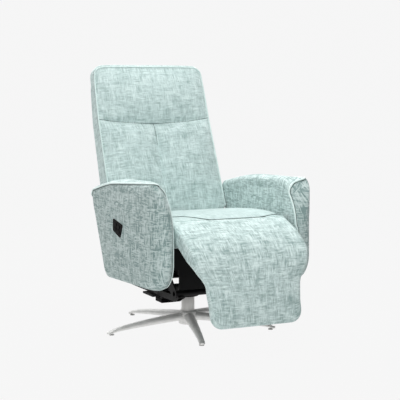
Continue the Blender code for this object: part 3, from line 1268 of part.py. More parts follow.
def build_chair():
    clear_scene()
    aluminium = paint("brushed_aluminium", (0.62, 0.63, 0.63), 0.38, 1.0)
    steel = paint("zinc_plated_steel", (0.55, 0.56, 0.57), 0.35, 1.0)
    black = paint("black_powder_coat", (0.020, 0.020, 0.022), 0.55, 0.0)
    plastic = paint("black_plastic", (0.018, 0.018, 0.019), 0.45, 0.0)
    grey_plastic = paint("grey_plastic", (0.36, 0.36, 0.355), 0.50, 0.0)
    cover = paint("pale_mint_weave", (0.46, 0.57, 0.55), 0.90, 0.0)
    webbing = paint("black_webbing", (0.03, 0.03, 0.03), 0.90, 0.0)
    wood = paint("birch_plywood", (0.55, 0.42, 0.28), 0.65, 0.0)

    chair = add_body("chair", (0.0, 0.0, 0.0))
    chair.location = (0.0, SWIVEL_Y, 0.0)
    turntable = add_body("pivot_swivel", (0.0, 0.0, 0.0), chair)
    front_links = hinge_body("pivot_front_links", FRONT_LINK_LOW, turntable)
    rear_links = hinge_body("pivot_rear_links", REAR_LINK_LOW, turntable)
    seat = hinge_body("pivot_seat", FRONT_LINK_HIGH, front_links)
    back = hinge_body("pivot_back", BACK_PIVOT, seat)
    head = hinge_body("pivot_head", HEAD_PIVOT, back)
    legrest = hinge_body("pivot_legrest", LEG_PIVOT, seat)
    flap = hinge_body("pivot_flap", FLAP_PIVOT, legrest)
    lift_motor = hinge_body("pivot_lift_motor", LIFT_MOTOR_PIVOT, turntable)
    lift_rod = hinge_body("pivot_lift_rod", LIFT_ROD_PIN, lift_motor)
    back_motor = hinge_body("pivot_back_motor", BACK_MOTOR_PIVOT, seat)
    back_rod = hinge_body("pivot_back_rod", BACK_ROD_PIN, back_motor)
    leg_motor = hinge_body("pivot_legrest_motor", LEG_MOTOR_PIVOT, seat)
    leg_rod = hinge_body("pivot_legrest_rod", LEG_ROD_PIN, leg_motor)

    build_star(chair, aluminium, grey_plastic)
    build_column(chair, aluminium, plastic)
    build_turntable(turntable, steel, black, plastic)
    build_links(front_links, rear_links, black)
    build_seat_frame(seat, black, webbing)
    build_seat_cushion(seat, cover)
    left_arm = build_arms(seat, cover, wood, black)
    build_switch(seat, left_arm, plastic)
    build_back(back, cover, wood)
    build_pivot_rod("back_pivot_rod", back, BACK_PIVOT, BACK_ROD_PIN, SIDE_MOTOR_X, BACK_ROD_RADIUS, steel)
    build_head(back, head, cover, steel)
    build_legrest(legrest, cover, black)
    build_pivot_rod("legrest_pivot_rod", legrest, LEG_PIVOT, LEG_ROD_PIN, -SIDE_MOTOR_X,
                    LEG_ROD_RADIUS, steel)
    build_flap(flap, cover, wood, steel)
    finishes = (plastic, steel)
    build_actuator("lift", (lift_motor, lift_rod), LIFT_MOTOR_PIVOT, LIFT_ROD_PIN, 0.0, 1.0,
                   TUBE_RADIUS, (0.0, LIFT_STROKE), finishes)
    build_actuator("back", (back_motor, back_rod), BACK_MOTOR_PIVOT, BACK_ROD_PIN, SIDE_MOTOR_X, 1.0,
                   MOTOR_PIN_RADIUS, (BACK_STROKE, 0.0), finishes)
    build_actuator("legrest", (leg_motor, leg_rod), LEG_MOTOR_PIVOT, LEG_ROD_PIN, -SIDE_MOTOR_X, -1.0,
                   MOTOR_PIN_RADIUS, (LEG_STROKE_IN, LEG_STROKE_OUT), finishes)


build_chair()
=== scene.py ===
import bmesh
import bpy
import numpy as np
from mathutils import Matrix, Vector


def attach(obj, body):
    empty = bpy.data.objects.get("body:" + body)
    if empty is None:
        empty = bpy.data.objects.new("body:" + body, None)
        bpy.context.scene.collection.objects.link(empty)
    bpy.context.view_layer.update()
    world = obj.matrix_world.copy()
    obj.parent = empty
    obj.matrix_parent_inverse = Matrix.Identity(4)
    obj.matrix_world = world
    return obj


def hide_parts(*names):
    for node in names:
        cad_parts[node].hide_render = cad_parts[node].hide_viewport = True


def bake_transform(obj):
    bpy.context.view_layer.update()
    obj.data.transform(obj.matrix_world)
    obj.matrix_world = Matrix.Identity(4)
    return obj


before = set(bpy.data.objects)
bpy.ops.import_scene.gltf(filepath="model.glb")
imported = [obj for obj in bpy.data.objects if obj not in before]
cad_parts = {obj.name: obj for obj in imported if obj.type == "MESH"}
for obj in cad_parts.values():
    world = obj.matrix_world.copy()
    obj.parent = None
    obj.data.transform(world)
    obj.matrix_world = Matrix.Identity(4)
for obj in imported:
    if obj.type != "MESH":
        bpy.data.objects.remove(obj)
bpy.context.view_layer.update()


# Star base: one aluminium casting of five blade legs on a hub, sanded and bead blasted to a satin grey.
# The column is pressed into the hub's bore, and a glide is pinned under each leg tip.
AXIS_Y = 0.078
STAR_REACH = 0.369
STAR_TURN = np.radians(-16.2)
STAR_LEGS = 5
HUB_PROFILE = ((0.034, 0.016), (0.0385, 0.0175), (0.040, 0.022),
               (0.040, 0.064), (0.0385, 0.0695), (0.034, 0.072))
BLADE_START = 0.020
BLADE_NOSE = 0.012
BLADE_HALF = 0.023
BLADE_TAPER = 0.011
BLADE_LOW, BLADE_LOW_RISE = 0.0048, 0.0292
BLADE_HIGH, BLADE_HIGH_RISE = 0.0155, 0.0525
SANDING_CLOUD = 0.030
BLAST_GRIT = (0.0012, 0.12, 0.0004)


def linear(code):
    """An sRGB hex colour as linear red, green, blue and alpha."""
    value = np.array([int(code[i:i + 2], 16) for i in (1, 3, 5)]) / 255.0
    value = np.where(value <= 0.04045, value / 12.92, ((value + 0.055) / 1.055) ** 2.4)
    return (*value.tolist(), 1.0)


def shade(tree, node, sockets):
    """Each of the node's sockets named takes a value, or a link from the output that feeds it."""
    for name, value in sockets.items():
        if isinstance(value, bpy.types.NodeSocket):
            tree.links.new(value, node.inputs[name])
        else:
            node.inputs[name].default_value = value


def add(tree, kind, sockets=None, **settings):
    """One shader node: its settings, then its sockets."""
    node = tree.nodes.new(kind)
    for name, value in settings.items():
        setattr(node, name, value)
    shade(tree, node, sockets or {})
    return node


def blank(name):
    """A new material, its node tree and its shader."""
    material = bpy.data.materials.new(name)
    material.use_nodes = True
    return material, material.node_tree, material.node_tree.nodes["Principled BSDF"]


def ramp(tree, factor, stops):
    """A colour ramp through (place, hex colour) stops."""
    node = add(tree, "ShaderNodeValToRGB", {"Fac": factor})
    points = node.color_ramp.elements
    while len(points) < len(stops):
        points.new(0.5)
    for point, (place, code) in zip(points, stops):
        point.position = place
        point.color = linear(code)
    return node.outputs["Color"]


def skin(name, verts, faces, material, uv=None):
    """A piece from whole arrays of points and faces, smooth, with its faces turned outwards."""
    mesh = bpy.data.meshes.new(name)
    mesh.from_pydata(np.asarray(verts).tolist(), [], faces)
    if uv is not None:
        mesh.uv_layers.new(name="weave").data.foreach_set("uv", np.asarray(uv, np.float32).ravel())
    work = bmesh.new()
    work.from_mesh(mesh)
    bmesh.ops.recalc_face_normals(work, faces=work.faces)
    work.to_mesh(mesh)
    work.free()
    mesh.shade_smooth()
    mesh.materials.append(material)
    piece = bpy.data.objects.new(name, mesh)
    bpy.context.scene.collection.objects.link(piece)
    return piece


def carried(rings, first=0):
    """Faces of a profile carried along a path: rings of points joined in turn, each end closed by a fan.
    Returns the points, with the two end centres last, and the faces numbered from first."""
    rows, count, _ = rings.shape
    index = np.arange(rows * count).reshape(rows, count)
    ahead = np.roll(index, -1, axis=1)
    sides = np.stack([index[:-1], ahead[:-1], ahead[1:], index[1:]], axis=-1).reshape(-1, 4)
    ends = []
    for row, centre in ((0, rows * count), (-1, rows * count + 1)):
        ends.append(np.stack([index[row], ahead[row], np.full(count, centre)], axis=-1))
    verts = np.vstack([rings.reshape(-1, 3), rings[0].mean(axis=0), rings[-1].mean(axis=0)])
    return verts, (sides + first).tolist() + (np.vstack(ends) + first).tolist()


def turned(profile, sides=72):
    """A profile of (radius, height) points spun about the swivel axis."""
    radius, height = np.array(profile).T
    turn = np.linspace(0.0, 2.0 * np.pi, sides, endpoint=False)
    rings = np.empty((len(radius), sides, 3))
    rings[..., 0] = np.outer(radius, np.cos(turn))
    rings[..., 1] = AXIS_Y + np.outer(radius, np.sin(turn))
    rings[..., 2] = height[:, None]
    return rings


def blade(heading):
    """A rounded roof section carried out along one leg: its width shrinks evenly with the share of the reach,
    its underside and spine fall as (1 - share) to the power 0.6, and the tip closes as a half ellipse."""
    share = np.concatenate([np.linspace(0.0, 1.0, 40), np.ones(8)])
    nose = np.concatenate([np.zeros(40), np.sin(np.linspace(0.0, np.pi / 2.0, 9))[1:]])
    reach = BLADE_START + share * (STAR_REACH - BLADE_NOSE - BLADE_START) + BLADE_NOSE * nose
    narrow = np.sqrt(np.clip(1.0 - nose ** 2, 0.004, 1.0))
    fall = (1.0 - share) ** 0.6
    bottom = BLADE_LOW + BLADE_LOW_RISE * fall
    tall = BLADE_HIGH + BLADE_HIGH_RISE * fall - bottom
    half = narrow * (BLADE_HALF - BLADE_TAPER * share)
    turn = np.linspace(0.0, 2.0 * np.pi, 36, endpoint=False)
    wide = np.sign(np.cos(turn)) * np.abs(np.cos(turn)) ** 0.6
    high = np.sign(np.sin(turn)) * np.abs(np.sin(turn)) ** 0.75
    wide = wide * (1.0 - 0.42 * np.clip(high, 0.0, 1.0) ** 1.5)
    across = np.outer(half, wide)
    up = bottom[:, None] + tall[:, None] * (0.5 + 0.5 * high * (0.55 + 0.45 * narrow[:, None]))
    rings = np.empty((len(reach), len(turn), 3))
    rings[..., 0] = np.sin(heading) * reach[:, None] + np.cos(heading) * across
    rings[..., 1] = AXIS_Y - np.cos(heading) * reach[:, None] + np.sin(heading) * across
    rings[..., 2] = up
    return rings


def mottled(name, tones, cloud, detail, rough, relief, sockets):
    """A finish whose clouds, of a size in metres, shade its colour and roughness, over a fine relief given as
    the size of its grit, its strength and its depth."""
    material, tree, shader = blank(name)
    spot = add(tree, "ShaderNodeTexCoord").outputs["Object"]
    haze = add(tree, "ShaderNodeTexNoise", {"Vector": spot, "Scale": 1.0 / cloud, "Detail": detail})
    dull = add(tree, "ShaderNodeMapRange", {"Value": haze.outputs["Fac"], "To Min": rough[0],
                                            "To Max": rough[1]})
    colour = ramp(tree, haze.outputs["Fac"], tuple(zip((0.3, 0.7), tones)))
    shade(tree, shader, {"Base Color": colour, "Roughness": dull.outputs["Result"], **sockets})
    if relief:
        size, strength, deep = relief
        grit = add(tree, "ShaderNodeTexNoise", {"Vector": spot, "Scale": 1.0 / size, "Detail": 2.0})
        bump = add(tree, "ShaderNodeBump", {"Height": grit.outputs["Fac"], "Strength": strength,
                                            "Distance": deep})
        shade(tree, shader, {"Normal": bump.outputs["Normal"]})
    return material


# Satin cast aluminium: pale grey metal, dulled by bead blasting, with a faint cloudiness from the sanding.
satin_aluminium = mottled("satin_cast_aluminium", ("#D4D4D2", "#E2E2E0"), SANDING_CLOUD, 3.0, (0.40, 0.54),
                          BLAST_GRIT, {"Metallic": 0.22})

legs = [blade(STAR_TURN + 2.0 * np.pi * leg / STAR_LEGS) for leg in range(STAR_LEGS)]
verts, faces = [], []
for rings in [turned(HUB_PROFILE)] + legs:
    shell, more = carried(rings, sum(len(v) for v in verts))
    verts.append(shell)
    faces += more
star = skin("star_casting", np.vstack(verts), faces, satin_aluminium)
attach(star, "base")
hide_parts("star_base")


# Foot glides: grey nylon discs, moulded with a spark-eroded grain.
# Each has a pin that is pressed into a leg tip from below.
FLOW_MARK = 0.012
MOULD_ROUGH = (0.38, 0.55)
MOULD_GRAIN = (0.0009, 0.25, 0.0003)


def coat(material, *names):
    """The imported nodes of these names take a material."""
    for name in names:
        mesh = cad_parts[name].data
        mesh.materials.clear()
        mesh.materials.append(material)


# Grey nylon: a waxy mid grey that stays quiet under the bright leg tips.
grey_nylon = mottled("moulded_grey_nylon", ("#A2A2A0", "#AEAEAC"), FLOW_MARK, 2.0, MOULD_ROUGH, MOULD_GRAIN,
                     {"Specular IOR Level": 0.25})
coat(grey_nylon, "foot_glide_1", "foot_glide_2", "foot_glide_3", "foot_glide_4", "foot_glide_5")


# Column: a drawn aluminium tube pressed into the hub, with fine draw lines along it.
# The spindle turns inside it in a black plastic bush.
COLUMN_PROFILE = ((0.0245, 0.034), (0.0275, 0.036), (0.0275, 0.1305), (0.0270, 0.1318), (0.0245, 0.1320))
DRAW_LINE = 0.0012
DRAW_RUN = 0.060

# Drawn aluminium: pale grey metal whose fine upright lines break its gloss.
drawn_aluminium, tree, shader = blank("drawn_aluminium")
spot = add(tree, "ShaderNodeTexCoord").outputs["Object"]
pull = add(tree, "ShaderNodeMapping", {"Vector": spot,
                                       "Scale": (1.0 / DRAW_LINE, 1.0 / DRAW_LINE, 1.0 / DRAW_RUN)})
drawn = add(tree, "ShaderNodeTexNoise", {"Vector": pull.outputs["Vector"], "Scale": 1.0, "Detail": 3.0})
rough = add(tree, "ShaderNodeMapRange", {"Value": drawn.outputs["Fac"], "To Min": 0.34, "To Max": 0.48})
line = add(tree, "ShaderNodeBump", {"Height": drawn.outputs["Fac"], "Strength": 0.08, "Distance": 0.0003})
shade(tree, shader, {"Base Color": ramp(tree, drawn.outputs["Fac"], ((0.3, "#D3D2CF"), (0.7, "#E1E0DE"))),
                     "Metallic": 0.15, "Roughness": rough.outputs["Result"],
                     "Normal": line.outputs["Normal"]})
column = skin("column_sleeve", *carried(turned(COLUMN_PROFILE)), drawn_aluminium)
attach(column, "base")
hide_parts("column_tube")
# Black plastic: grained housing stock that hardly shines.
black_plastic = mottled("moulded_black_plastic", ("#040405", "#09090A"), FLOW_MARK, 2.0, MOULD_ROUGH,
                        MOULD_GRAIN, {"Specular IOR Level": 0.03})
coat(black_plastic, "column_bush")


# Turntable: a steel flange on the spindle, a cross plate bolted to it and two box rails across its ends.
# Three tubes across the rails carry the lift links and the lift motor.
FLANGE_PROFILE = ((0.040, 0.1350), (0.0435, 0.1352), (0.0450, 0.1368),
                  (0.0450, 0.1480), (0.0438, 0.1494), (0.040, 0.1496))
ORANGE_PEEL = (0.0022, 0.2, 0.0004)
DUST = 0.040
ZINC_CLOUD = 0.008

# Black powder coat: baked polyester powder on steel, matte, with a slight orange peel.
powder_coat = mottled("black_powder_coat", ("#050505", "#0B0B0C"), DUST, 4.0, (0.46, 0.64), ORANGE_PEEL,
                      {"Specular IOR Level": 0.18})
flange = skin("flange_disc", *carried(turned(FLANGE_PROFILE)), powder_coat)
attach(flange, "turntable")
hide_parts("swivel_flange")
coat(powder_coat, "cross_plate", "base_rail_left", "base_rail_right", "base_front_tube", "base_middle_tube",
     "base_motor_tube")

# Zinc plate: bright steel under a thin passivated zinc coat, a little cloudy and blue.
zinc_plate = mottled("zinc_plated_steel", ("#A9ADB3", "#C6C9CC"), ZINC_CLOUD, 3.0, (0.24, 0.42), None,
                     {"Metallic": 1.0})
coat(zinc_plate, "swivel_spindle")


# Control box: a moulded housing for the power supply, with its inlet at the rear.
# It hangs in a bent steel bracket that is tied to the flange.
coat(black_plastic, "control_box")
coat(powder_coat, "control_box_bracket")


# Lift links: laser-cut steel bars, two long ones at the front and two short ones at the rear.
# Each turns on a base tube below and a seat tube or lug above.
coat(powder_coat, "front_link_left", "front_link_right", "rear_link_left", "rear_link_right")


# Seat frame: steel box rails with welded hinge lugs, two cross tubes with motor brackets and a front apron.
# Rubber-cored webbing is stretched from rail to rail under the cushion, and a bracket holds each arm.
WEB_RIB = 0.0035
coat(powder_coat, "seat_rail_left", "seat_rail_right", "seat_front_tube", "seat_rear_tube", "seat_apron",
     "arm_bracket_left", "arm_bracket_right")

# Elastic webbing: black polyester over rubber cores, with ribs along each strap.
elastic_webbing, tree, shader = blank("elastic_webbing")
spot = add(tree, "ShaderNodeTexCoord").outputs["Object"]
rib = add(tree, "ShaderNodeTexWave", {"Vector": spot, "Scale": 1.0 / (20.0 * WEB_RIB) * np.pi,
                                      "Distortion": 0.4}, bands_direction="Y")
tooth = add(tree, "ShaderNodeBump", {"Height": rib.outputs["Fac"], "Strength": 0.6, "Distance": 0.0008})
shade(tree, shader, {"Base Color": ramp(tree, rib.outputs["Fac"], ((0.2, "#0B0B0C"), (0.8, "#242426"))),
                     "Roughness": 0.9, "Normal": tooth.outputs["Normal"]})
coat(elastic_webbing, "seat_webbing")


# Motors and hinges: three linear actuators in moulded housings, whose plated rods push the lift lug and two
# cranks. The cranks, pivot rods and head hinge are plated too, and the legrest's frame is powder coated.
coat(black_plastic, "lift_motor", "back_motor", "legrest_motor")
coat(zinc_plate, "lift_rod", "back_rod", "legrest_rod", "back_pivot_rod", "legrest_pivot_rod",
     "flap_hinge_rod", "head_hinge", "head_frame")
coat(powder_coat, "legrest_frame")


# Boards: sawn birch plywood behind the back and inside both arms, screwed to the frame.
# The flap's board is open to view behind, so it is stained black.
GROWTH_LINE = 0.012
GROWTH_RUN = 0.180


def plywood(name, stops):
    """Sawn plywood: a grain drawn out along the sheet, which also lifts its fibres."""
    material, tree, shader = blank(name)
    spot = add(tree, "ShaderNodeTexCoord").outputs["Object"]
    grow = add(tree, "ShaderNodeMapping", {"Vector": spot, "Scale": (1.0 / GROWTH_LINE, 1.0 / GROWTH_LINE,
                                                                     1.0 / GROWTH_RUN)})
    grain = add(tree, "ShaderNodeTexNoise", {"Vector": grow.outputs["Vector"], "Scale": 1.0, "Detail": 5.0})
    fibre = add(tree, "ShaderNodeBump", {"Height": grain.outputs["Fac"], "Strength": 0.2,
                                         "Distance": 0.0004})
    shade(tree, shader, {"Base Color": ramp(tree, grain.outputs["Fac"], stops), "Roughness": 0.62,
                         "Specular IOR Level": 0.3, "Normal": fibre.outputs["Normal"]})
    return material


# Raw birch: pale yellow wood with fine brown growth lines.
birch_plywood = plywood("birch_plywood", ((0.3, "#B99468"), (0.55, "#D3B48A"), (0.75, "#DFC59F")))
coat(birch_plywood, "arm_board_left", "arm_board_right", "back_board")
# Stained birch: black stain that lets the grain show faintly.
stained_plywood = plywood("stained_birch_plywood", ((0.3, "#121110"), (0.55, "#1B1917"), (0.75, "#24211E")))
coat(stained_plywood, "flap_board")


# Seat cushion: cold foam in a sewn cover, lying on the webbing between the arms.
# Its front is hollowed for the legrest's knuckle and its rear slants with the back.
# A seam across the top marks off the front border.
SEAT_HALF = 0.2605
SEAT_FLOOR = 0.3888
SEAT_LIP = 0.4930
SEAT_RISE = 0.0611
SEAT_FALL = 0.0806
SEAT_SIDE_ROUND = 0.012
SEAT_BACK_GAP = 0.072
SEAT_FILL = 0.003
LEG_PIVOT = np.array([-0.287, 0.447])
KNUCKLE_ROOM = 0.0535
KNUCKLE_LOW, KNUCKLE_HIGH = -0.0409, 0.0454
BACK_PIVOT = np.array([0.280, 0.400])
BACK_ALONG = np.array([0.39073, 0.92050])
BACK_NORMAL = np.array([-0.92050, 0.39073])
FRONT_SEAM = -0.2555
SEAM_LEFT_BACK, SEAM_LEFT_FROM = 0.078, 0.055
SEAM_RIGHT_BACK, SEAM_RIGHT_FROM = 0.024, 0.150
SEAM_EASE = 0.105
SEAM_DEPTH = 0.0035
SEAM_WIDTH = 0.010
SEAM_REACH = 0.252
SEAT_STITCHES = 120
SEAT_THREAD, SEAT_THREAD_LIFT = 0.0012, 0.0024
PANEL_SHIFT = np.array([0.71, 0.43])
FOAM_PRESSURE = 4.0
STITCH = 0.004
THREAD = 0.0036
THREAD_APART = 7.37
SLUB_RUN = 0.046
PATCH = 0.035
BAND = 0.026
BAND_APART = 11.3
BAND_RUN = 0.085
CLOTH_GRAIN = 0.003


def ease(share):
    """A smooth rise from 0 to 1: three times the share's square less twice its cube."""
    share = np.clip(share, 0.0, 1.0)
    return share * share * (3.0 - 2.0 * share)


def grid_lines(*stops):
    """Grid lines in metres: (place, count) pairs give how many equal steps follow each place, and the last
    place is the end."""
    runs = [np.linspace(low, high, steps, endpoint=False)
            for (low, steps), (high, _) in zip(stops[:-1], stops[1:])]
    return np.concatenate(runs + [np.array([stops[-1][0]])])


def six_panels(across, along, depth):
    """The skin of a box as one closed net of six panels: the places of its points, each panel's grid of
    point numbers, and the numbers over the whole box."""
    shape = (len(across), len(along), len(depth))
    outside = np.zeros(shape, bool)
    outside[[0, -1]] = True
    outside[:, [0, -1]] = True
    outside[:, :, [0, -1]] = True
    number = np.full(shape, -1)
    number[outside] = np.arange(outside.sum())
    places = np.stack(np.meshgrid(across, along, depth, indexing="ij"), axis=-1)[outside]
    panels = [number[0], number[-1], number[:, 0], number[:, -1], number[:, :, 0], number[:, :, -1]]
    return places, panels, number


def corners(grid):
    """The four corners of every cell of a grid, in turn."""
    return np.stack([grid[:-1, :-1], grid[1:, :-1], grid[1:, 1:], grid[:-1, 1:]], axis=2)


def cut_cloth(verts, panels):
    """Faces of a net, and each corner's place on its own flat panel in metres, each panel cut from another
    part of the roll. A panel that lies level or upright keeps a straight grain and is measured in its own
    plane, and others by mean lengths along both grid ways."""
    faces, flat = [], []
    for number, panel in enumerate(panels):
        place = verts[panel]
        steps = [np.linalg.norm(np.diff(place, axis=way), axis=2).mean(axis=1 - way) for way in (0, 1)]
        u, v = [np.concatenate([[0.0], np.cumsum(step)]) for step in steps]
        sheet = np.stack(np.meshgrid(u, v, indexing="ij"), axis=-1)
        spread = np.ptp(place, axis=(0, 1))
        if spread.min() < 0.1 * np.sort(spread)[1]:
            sheet = place[..., np.sort(np.argsort(spread)[1:])]
        sheet = sheet + PANEL_SHIFT * number
        faces.append(corners(panel[..., None]).reshape(-1, 4))
        flat.append(corners(sheet).reshape(-1, 2))
    return np.vstack(faces).tolist(), np.vstack(flat)


def points_of(mesh, what="vertices", key="co"):
    """A mesh's points, or another of its lists of three numbers, as rows."""
    values = np.empty(len(getattr(mesh, what)) * 3, np.float32)
    getattr(mesh, what).foreach_get(key, values)
    return values.reshape(-1, 3).astype(float)


def fill(piece, sewn, pressure, most):
    """Foam under the cover: cloth with inner pressure swells between its sewn points, up to most metres."""
    rest = points_of(piece.data)
    group = piece.vertex_groups.new(name="sewn")
    group.add(np.flatnonzero(sewn).tolist(), 1.0, "REPLACE")
    cloth = piece.modifiers.new("fill", "CLOTH")
    cloth.settings.quality = 5
    cloth.settings.mass = 0.3
    cloth.settings.tension_stiffness = 18.0
    cloth.settings.compression_stiffness = 18.0
    cloth.settings.bending_stiffness = 4.0
    cloth.settings.use_pressure = True
    cloth.settings.uniform_pressure_force = pressure
    cloth.settings.vertex_group_mass = "sewn"
    cloth.settings.effector_weights.gravity = 0.0
    for number in range(1, 21):
        bpy.context.scene.frame_set(number)
    swollen = points_of(piece.evaluated_get(bpy.context.evaluated_depsgraph_get()).data)
    piece.modifiers.remove(cloth)
    piece.vertex_groups.remove(group)
    bpy.context.scene.frame_set(1)
    shift = swollen - rest
    far = np.linalg.norm(shift, axis=1, keepdims=True)
    shift = shift * np.minimum(1.0, most / np.maximum(far, 1e-9))
    piece.data.vertices.foreach_set("co", (rest + shift).astype(np.float32).ravel())
    piece.data.update()


def refine(piece):
    """One smooth subdivision, made part of the mesh."""
    smooth = piece.modifiers.new("smooth", "SUBSURF")
    smooth.levels = smooth.render_levels = 1
    solved = piece.evaluated_get(bpy.context.evaluated_depsgraph_get())
    mesh = bpy.data.meshes.new_from_object(solved)
    piece.modifiers.remove(smooth)
    old = piece.data
    piece.data = mesh
    bpy.data.meshes.remove(old)
    mesh.name = piece.name
    mesh.shade_smooth()


def weave(name, tones, bold, blocks):
    """Slubby linen-look cloth: rows of threads both ways, each thread lighter or darker along its own run,
    drawn 3.6 mm wide so that they show. One way comes forward or the other in patches about 35 mm wide.
    Broad soft bands both ways, about 26 mm wide, make paler and darker blocks, with a fine grain over all."""
    material, tree, shader = blank(name)
    flat = add(tree, "ShaderNodeUVMap", uv_map="weave").outputs["UV"]
    way = add(tree, "ShaderNodeSeparateXYZ", {"Vector": flat}).outputs

    def math(kind, *values):
        """A sum on values or outputs."""
        node = add(tree, "ShaderNodeMath", dict(enumerate(values)), operation=kind)
        return node.outputs["Value"]

    def streaks(across, along, run, detail):
        """Noise about zero, drawn out along the thread by its run."""
        place = add(tree, "ShaderNodeCombineXYZ", {"X": across, "Y": math("MULTIPLY", along, 1.0 / run)})
        noise = add(tree, "ShaderNodeTexNoise", {"Vector": place.outputs["Vector"], "Scale": 1.0,
                                                 "Detail": detail, "Roughness": 0.7}, noise_dimensions="2D")
        return math("SUBTRACT", noise.outputs["Fac"], 0.5)

    patch = add(tree, "ShaderNodeTexNoise", {"Vector": flat, "Scale": 1.0 / PATCH,
                                             "Detail": 1.0}).outputs["Fac"]
    threads = 0.0
    bands = 0.5
    for over, along, low, high in (("X", "Y", 1.0, 0.35), ("Y", "X", 0.35, 1.0)):
        row = math("MULTIPLY", math("FLOOR", math("MULTIPLY", way[over], 1.0 / THREAD)), THREAD_APART)
        slub = streaks(row, way[along], SLUB_RUN, 2.0)
        weight = add(tree, "ShaderNodeMapRange", {"Value": patch, "From Min": 0.40, "From Max": 0.60,
                                                  "To Min": low, "To Max": high}).outputs["Result"]
        threads = math("MULTIPLY_ADD", slub, weight, threads)
        band = streaks(math("MULTIPLY_ADD", way[over], 1.0 / BAND, BAND_APART), way[along], BAND_RUN, 1.0)
        bands = math("MULTIPLY_ADD", band, blocks, bands)
    grain = add(tree, "ShaderNodeTexNoise", {"Vector": flat, "Scale": 1.0 / CLOTH_GRAIN,
                                             "Detail": 1.0}).outputs["Fac"]
    total = math("MULTIPLY_ADD", threads, bold, bands)
    total = math("MULTIPLY_ADD", math("SUBTRACT", grain, 0.5), 0.22 * bold, total)
    nap = add(tree, "ShaderNodeBump", {"Height": threads, "Strength": 0.4, "Distance": 0.0015})
    shade(tree, shader, {"Base Color": ramp(tree, total, tones), "Roughness": 0.92,
                         "Specular IOR Level": 0.2, "Sheen Weight": 0.2, "Sheen Roughness": 0.5,
                         "Normal": nap.outputs["Normal"]})
    return material


# Mint linen weave: matt slubbed cloth in three close tones, softened by a light nap.
LINEN_TONES = ((0.34, "#90A6A4"), (0.50, "#B9CCCA"), (0.66, "#D6E6E4"))
cover_cloth = weave("mint_linen_weave", LINEN_TONES, 0.50, 0.15)
# Seat linen: the same weave with fainter slubs, a lit copy whose flatter tones are a painted highlight where
# strong light washes out the slubs on the seat.
lit_seat_cloth = weave("mint_linen_weave_seat_lit", LINEN_TONES, 0.28, 0.10)
# Seam shadow thread: dark tones that are painted shadow, for thin tubes laid in the seams, where real
# stitching sinks into shade, and beside the welts, where there is only their shadow.
SEAM_SHADOW_TONES = ((0.30, "#3E4C4A"), (0.48, "#4C5C59"), (0.64, "#5A6B68"))


def unit(rows):
    """Each row divided by its own length."""
    return rows / np.linalg.norm(rows, axis=1, keepdims=True)


def headings(path, closed):
    """The way along a path at each point, from the point behind it to the point ahead."""
    if closed:
        return np.roll(path, -1, axis=0) - np.roll(path, 1, axis=0)
    return np.gradient(path, axis=0)


def tube(path, normals, radius, closed, sides=10):
    """A round section carried along a path on a surface, framed by the path's way and the normal."""
    way = unit(headings(path, closed))
    beside = unit(np.cross(way, normals))
    above = np.cross(beside, way)
    turn = np.linspace(0.0, 2.0 * np.pi, sides, endpoint=False)
    ring = np.cos(turn)[None, :, None] * beside[:, None] + np.sin(turn)[None, :, None] * above[:, None]
    return path[:, None] + radius * ring


def evened(path, normals, step, closed):
    """The same path with points a step apart, smoothed three times, and its normals there."""
    if closed:
        path, normals = np.vstack([path, path[:1]]), np.vstack([normals, normals[:1]])
    run = np.concatenate([[0.0], np.cumsum(np.linalg.norm(np.diff(path, axis=0), axis=1))])
    at = np.linspace(0.0, run[-1], int(run[-1] / step) + 1)
    if closed:
        at = at[:-1]
    path = np.column_stack([np.interp(at, run, path[:, i]) for i in range(3)])
    normals = np.column_stack([np.interp(at, run, normals[:, i]) for i in range(3)])
    for _ in range(3):
        ahead, behind = np.roll(path, -1, axis=0), np.roll(path, 1, axis=0)
        mean = (ahead + behind + 2.0 * path) / 4.0
        path = mean if closed else np.vstack([path[:1], mean[1:-1], path[-1:]])
    return path, unit(normals)


def laid_line(name, path, normals, radius, lift, material, closed=False):
    """A thin tube laid on a surface, with its own flat run of cloth, for welts, stitched lines and dark lines
    of painted shadow.
    A closed one joins its last ring to its first, and an open one has a fan at each end."""
    path, normals = evened(path, normals, STITCH, closed)
    rings = tube(path + normals * lift, normals, radius, closed)
    rows, sides, _ = rings.shape
    if closed:
        rings = np.concatenate([rings, rings[:1]])
        rows = rows + 1
    index = np.arange(rows * sides).reshape(rows, sides)
    if closed:
        index[-1] = index[0]
    index = np.hstack([index, index[:, :1]])
    run = np.stack(np.meshgrid(np.arange(rows) * STITCH, np.arange(sides + 1) * 2.0 * np.pi * radius / sides,
                               indexing="ij"), axis=-1)
    faces = corners(index[..., None]).reshape(-1, 4).tolist()
    flat = corners(run).reshape(-1, 2)
    verts = rings.reshape(-1, 3)
    if closed:
        verts = verts[:-sides]
    else:
        verts = np.vstack([verts, path[0] + normals[0] * lift, path[-1] + normals[-1] * lift])
        ends = []
        for row, centre in ((index[0], len(verts) - 2), (index[-1], len(verts) - 1)):
            ends.append(np.stack([row[:-1], row[1:], np.full(sides, centre)], axis=-1))
        faces += np.vstack(ends).tolist()
        flat = np.vstack([flat, np.zeros((6 * sides, 2))])
    return skin(name, verts, faces, material, flat)


# Painted shadow: this dark thread stands in for the shade in the seams and the shadow beside the welts.
shadow_thread = weave("seam_shadow_thread", SEAM_SHADOW_TONES, 0.4, 0.1)


def seat_seam(x):
    """How far back the front seam lies: along the lip in the middle, easing back towards each side."""
    left = SEAM_LEFT_BACK * ease((-x - SEAM_LEFT_FROM) / SEAM_EASE)
    right = SEAM_RIGHT_BACK * ease((x - SEAM_RIGHT_FROM) / SEAM_EASE)
    return FRONT_SEAM + left + right


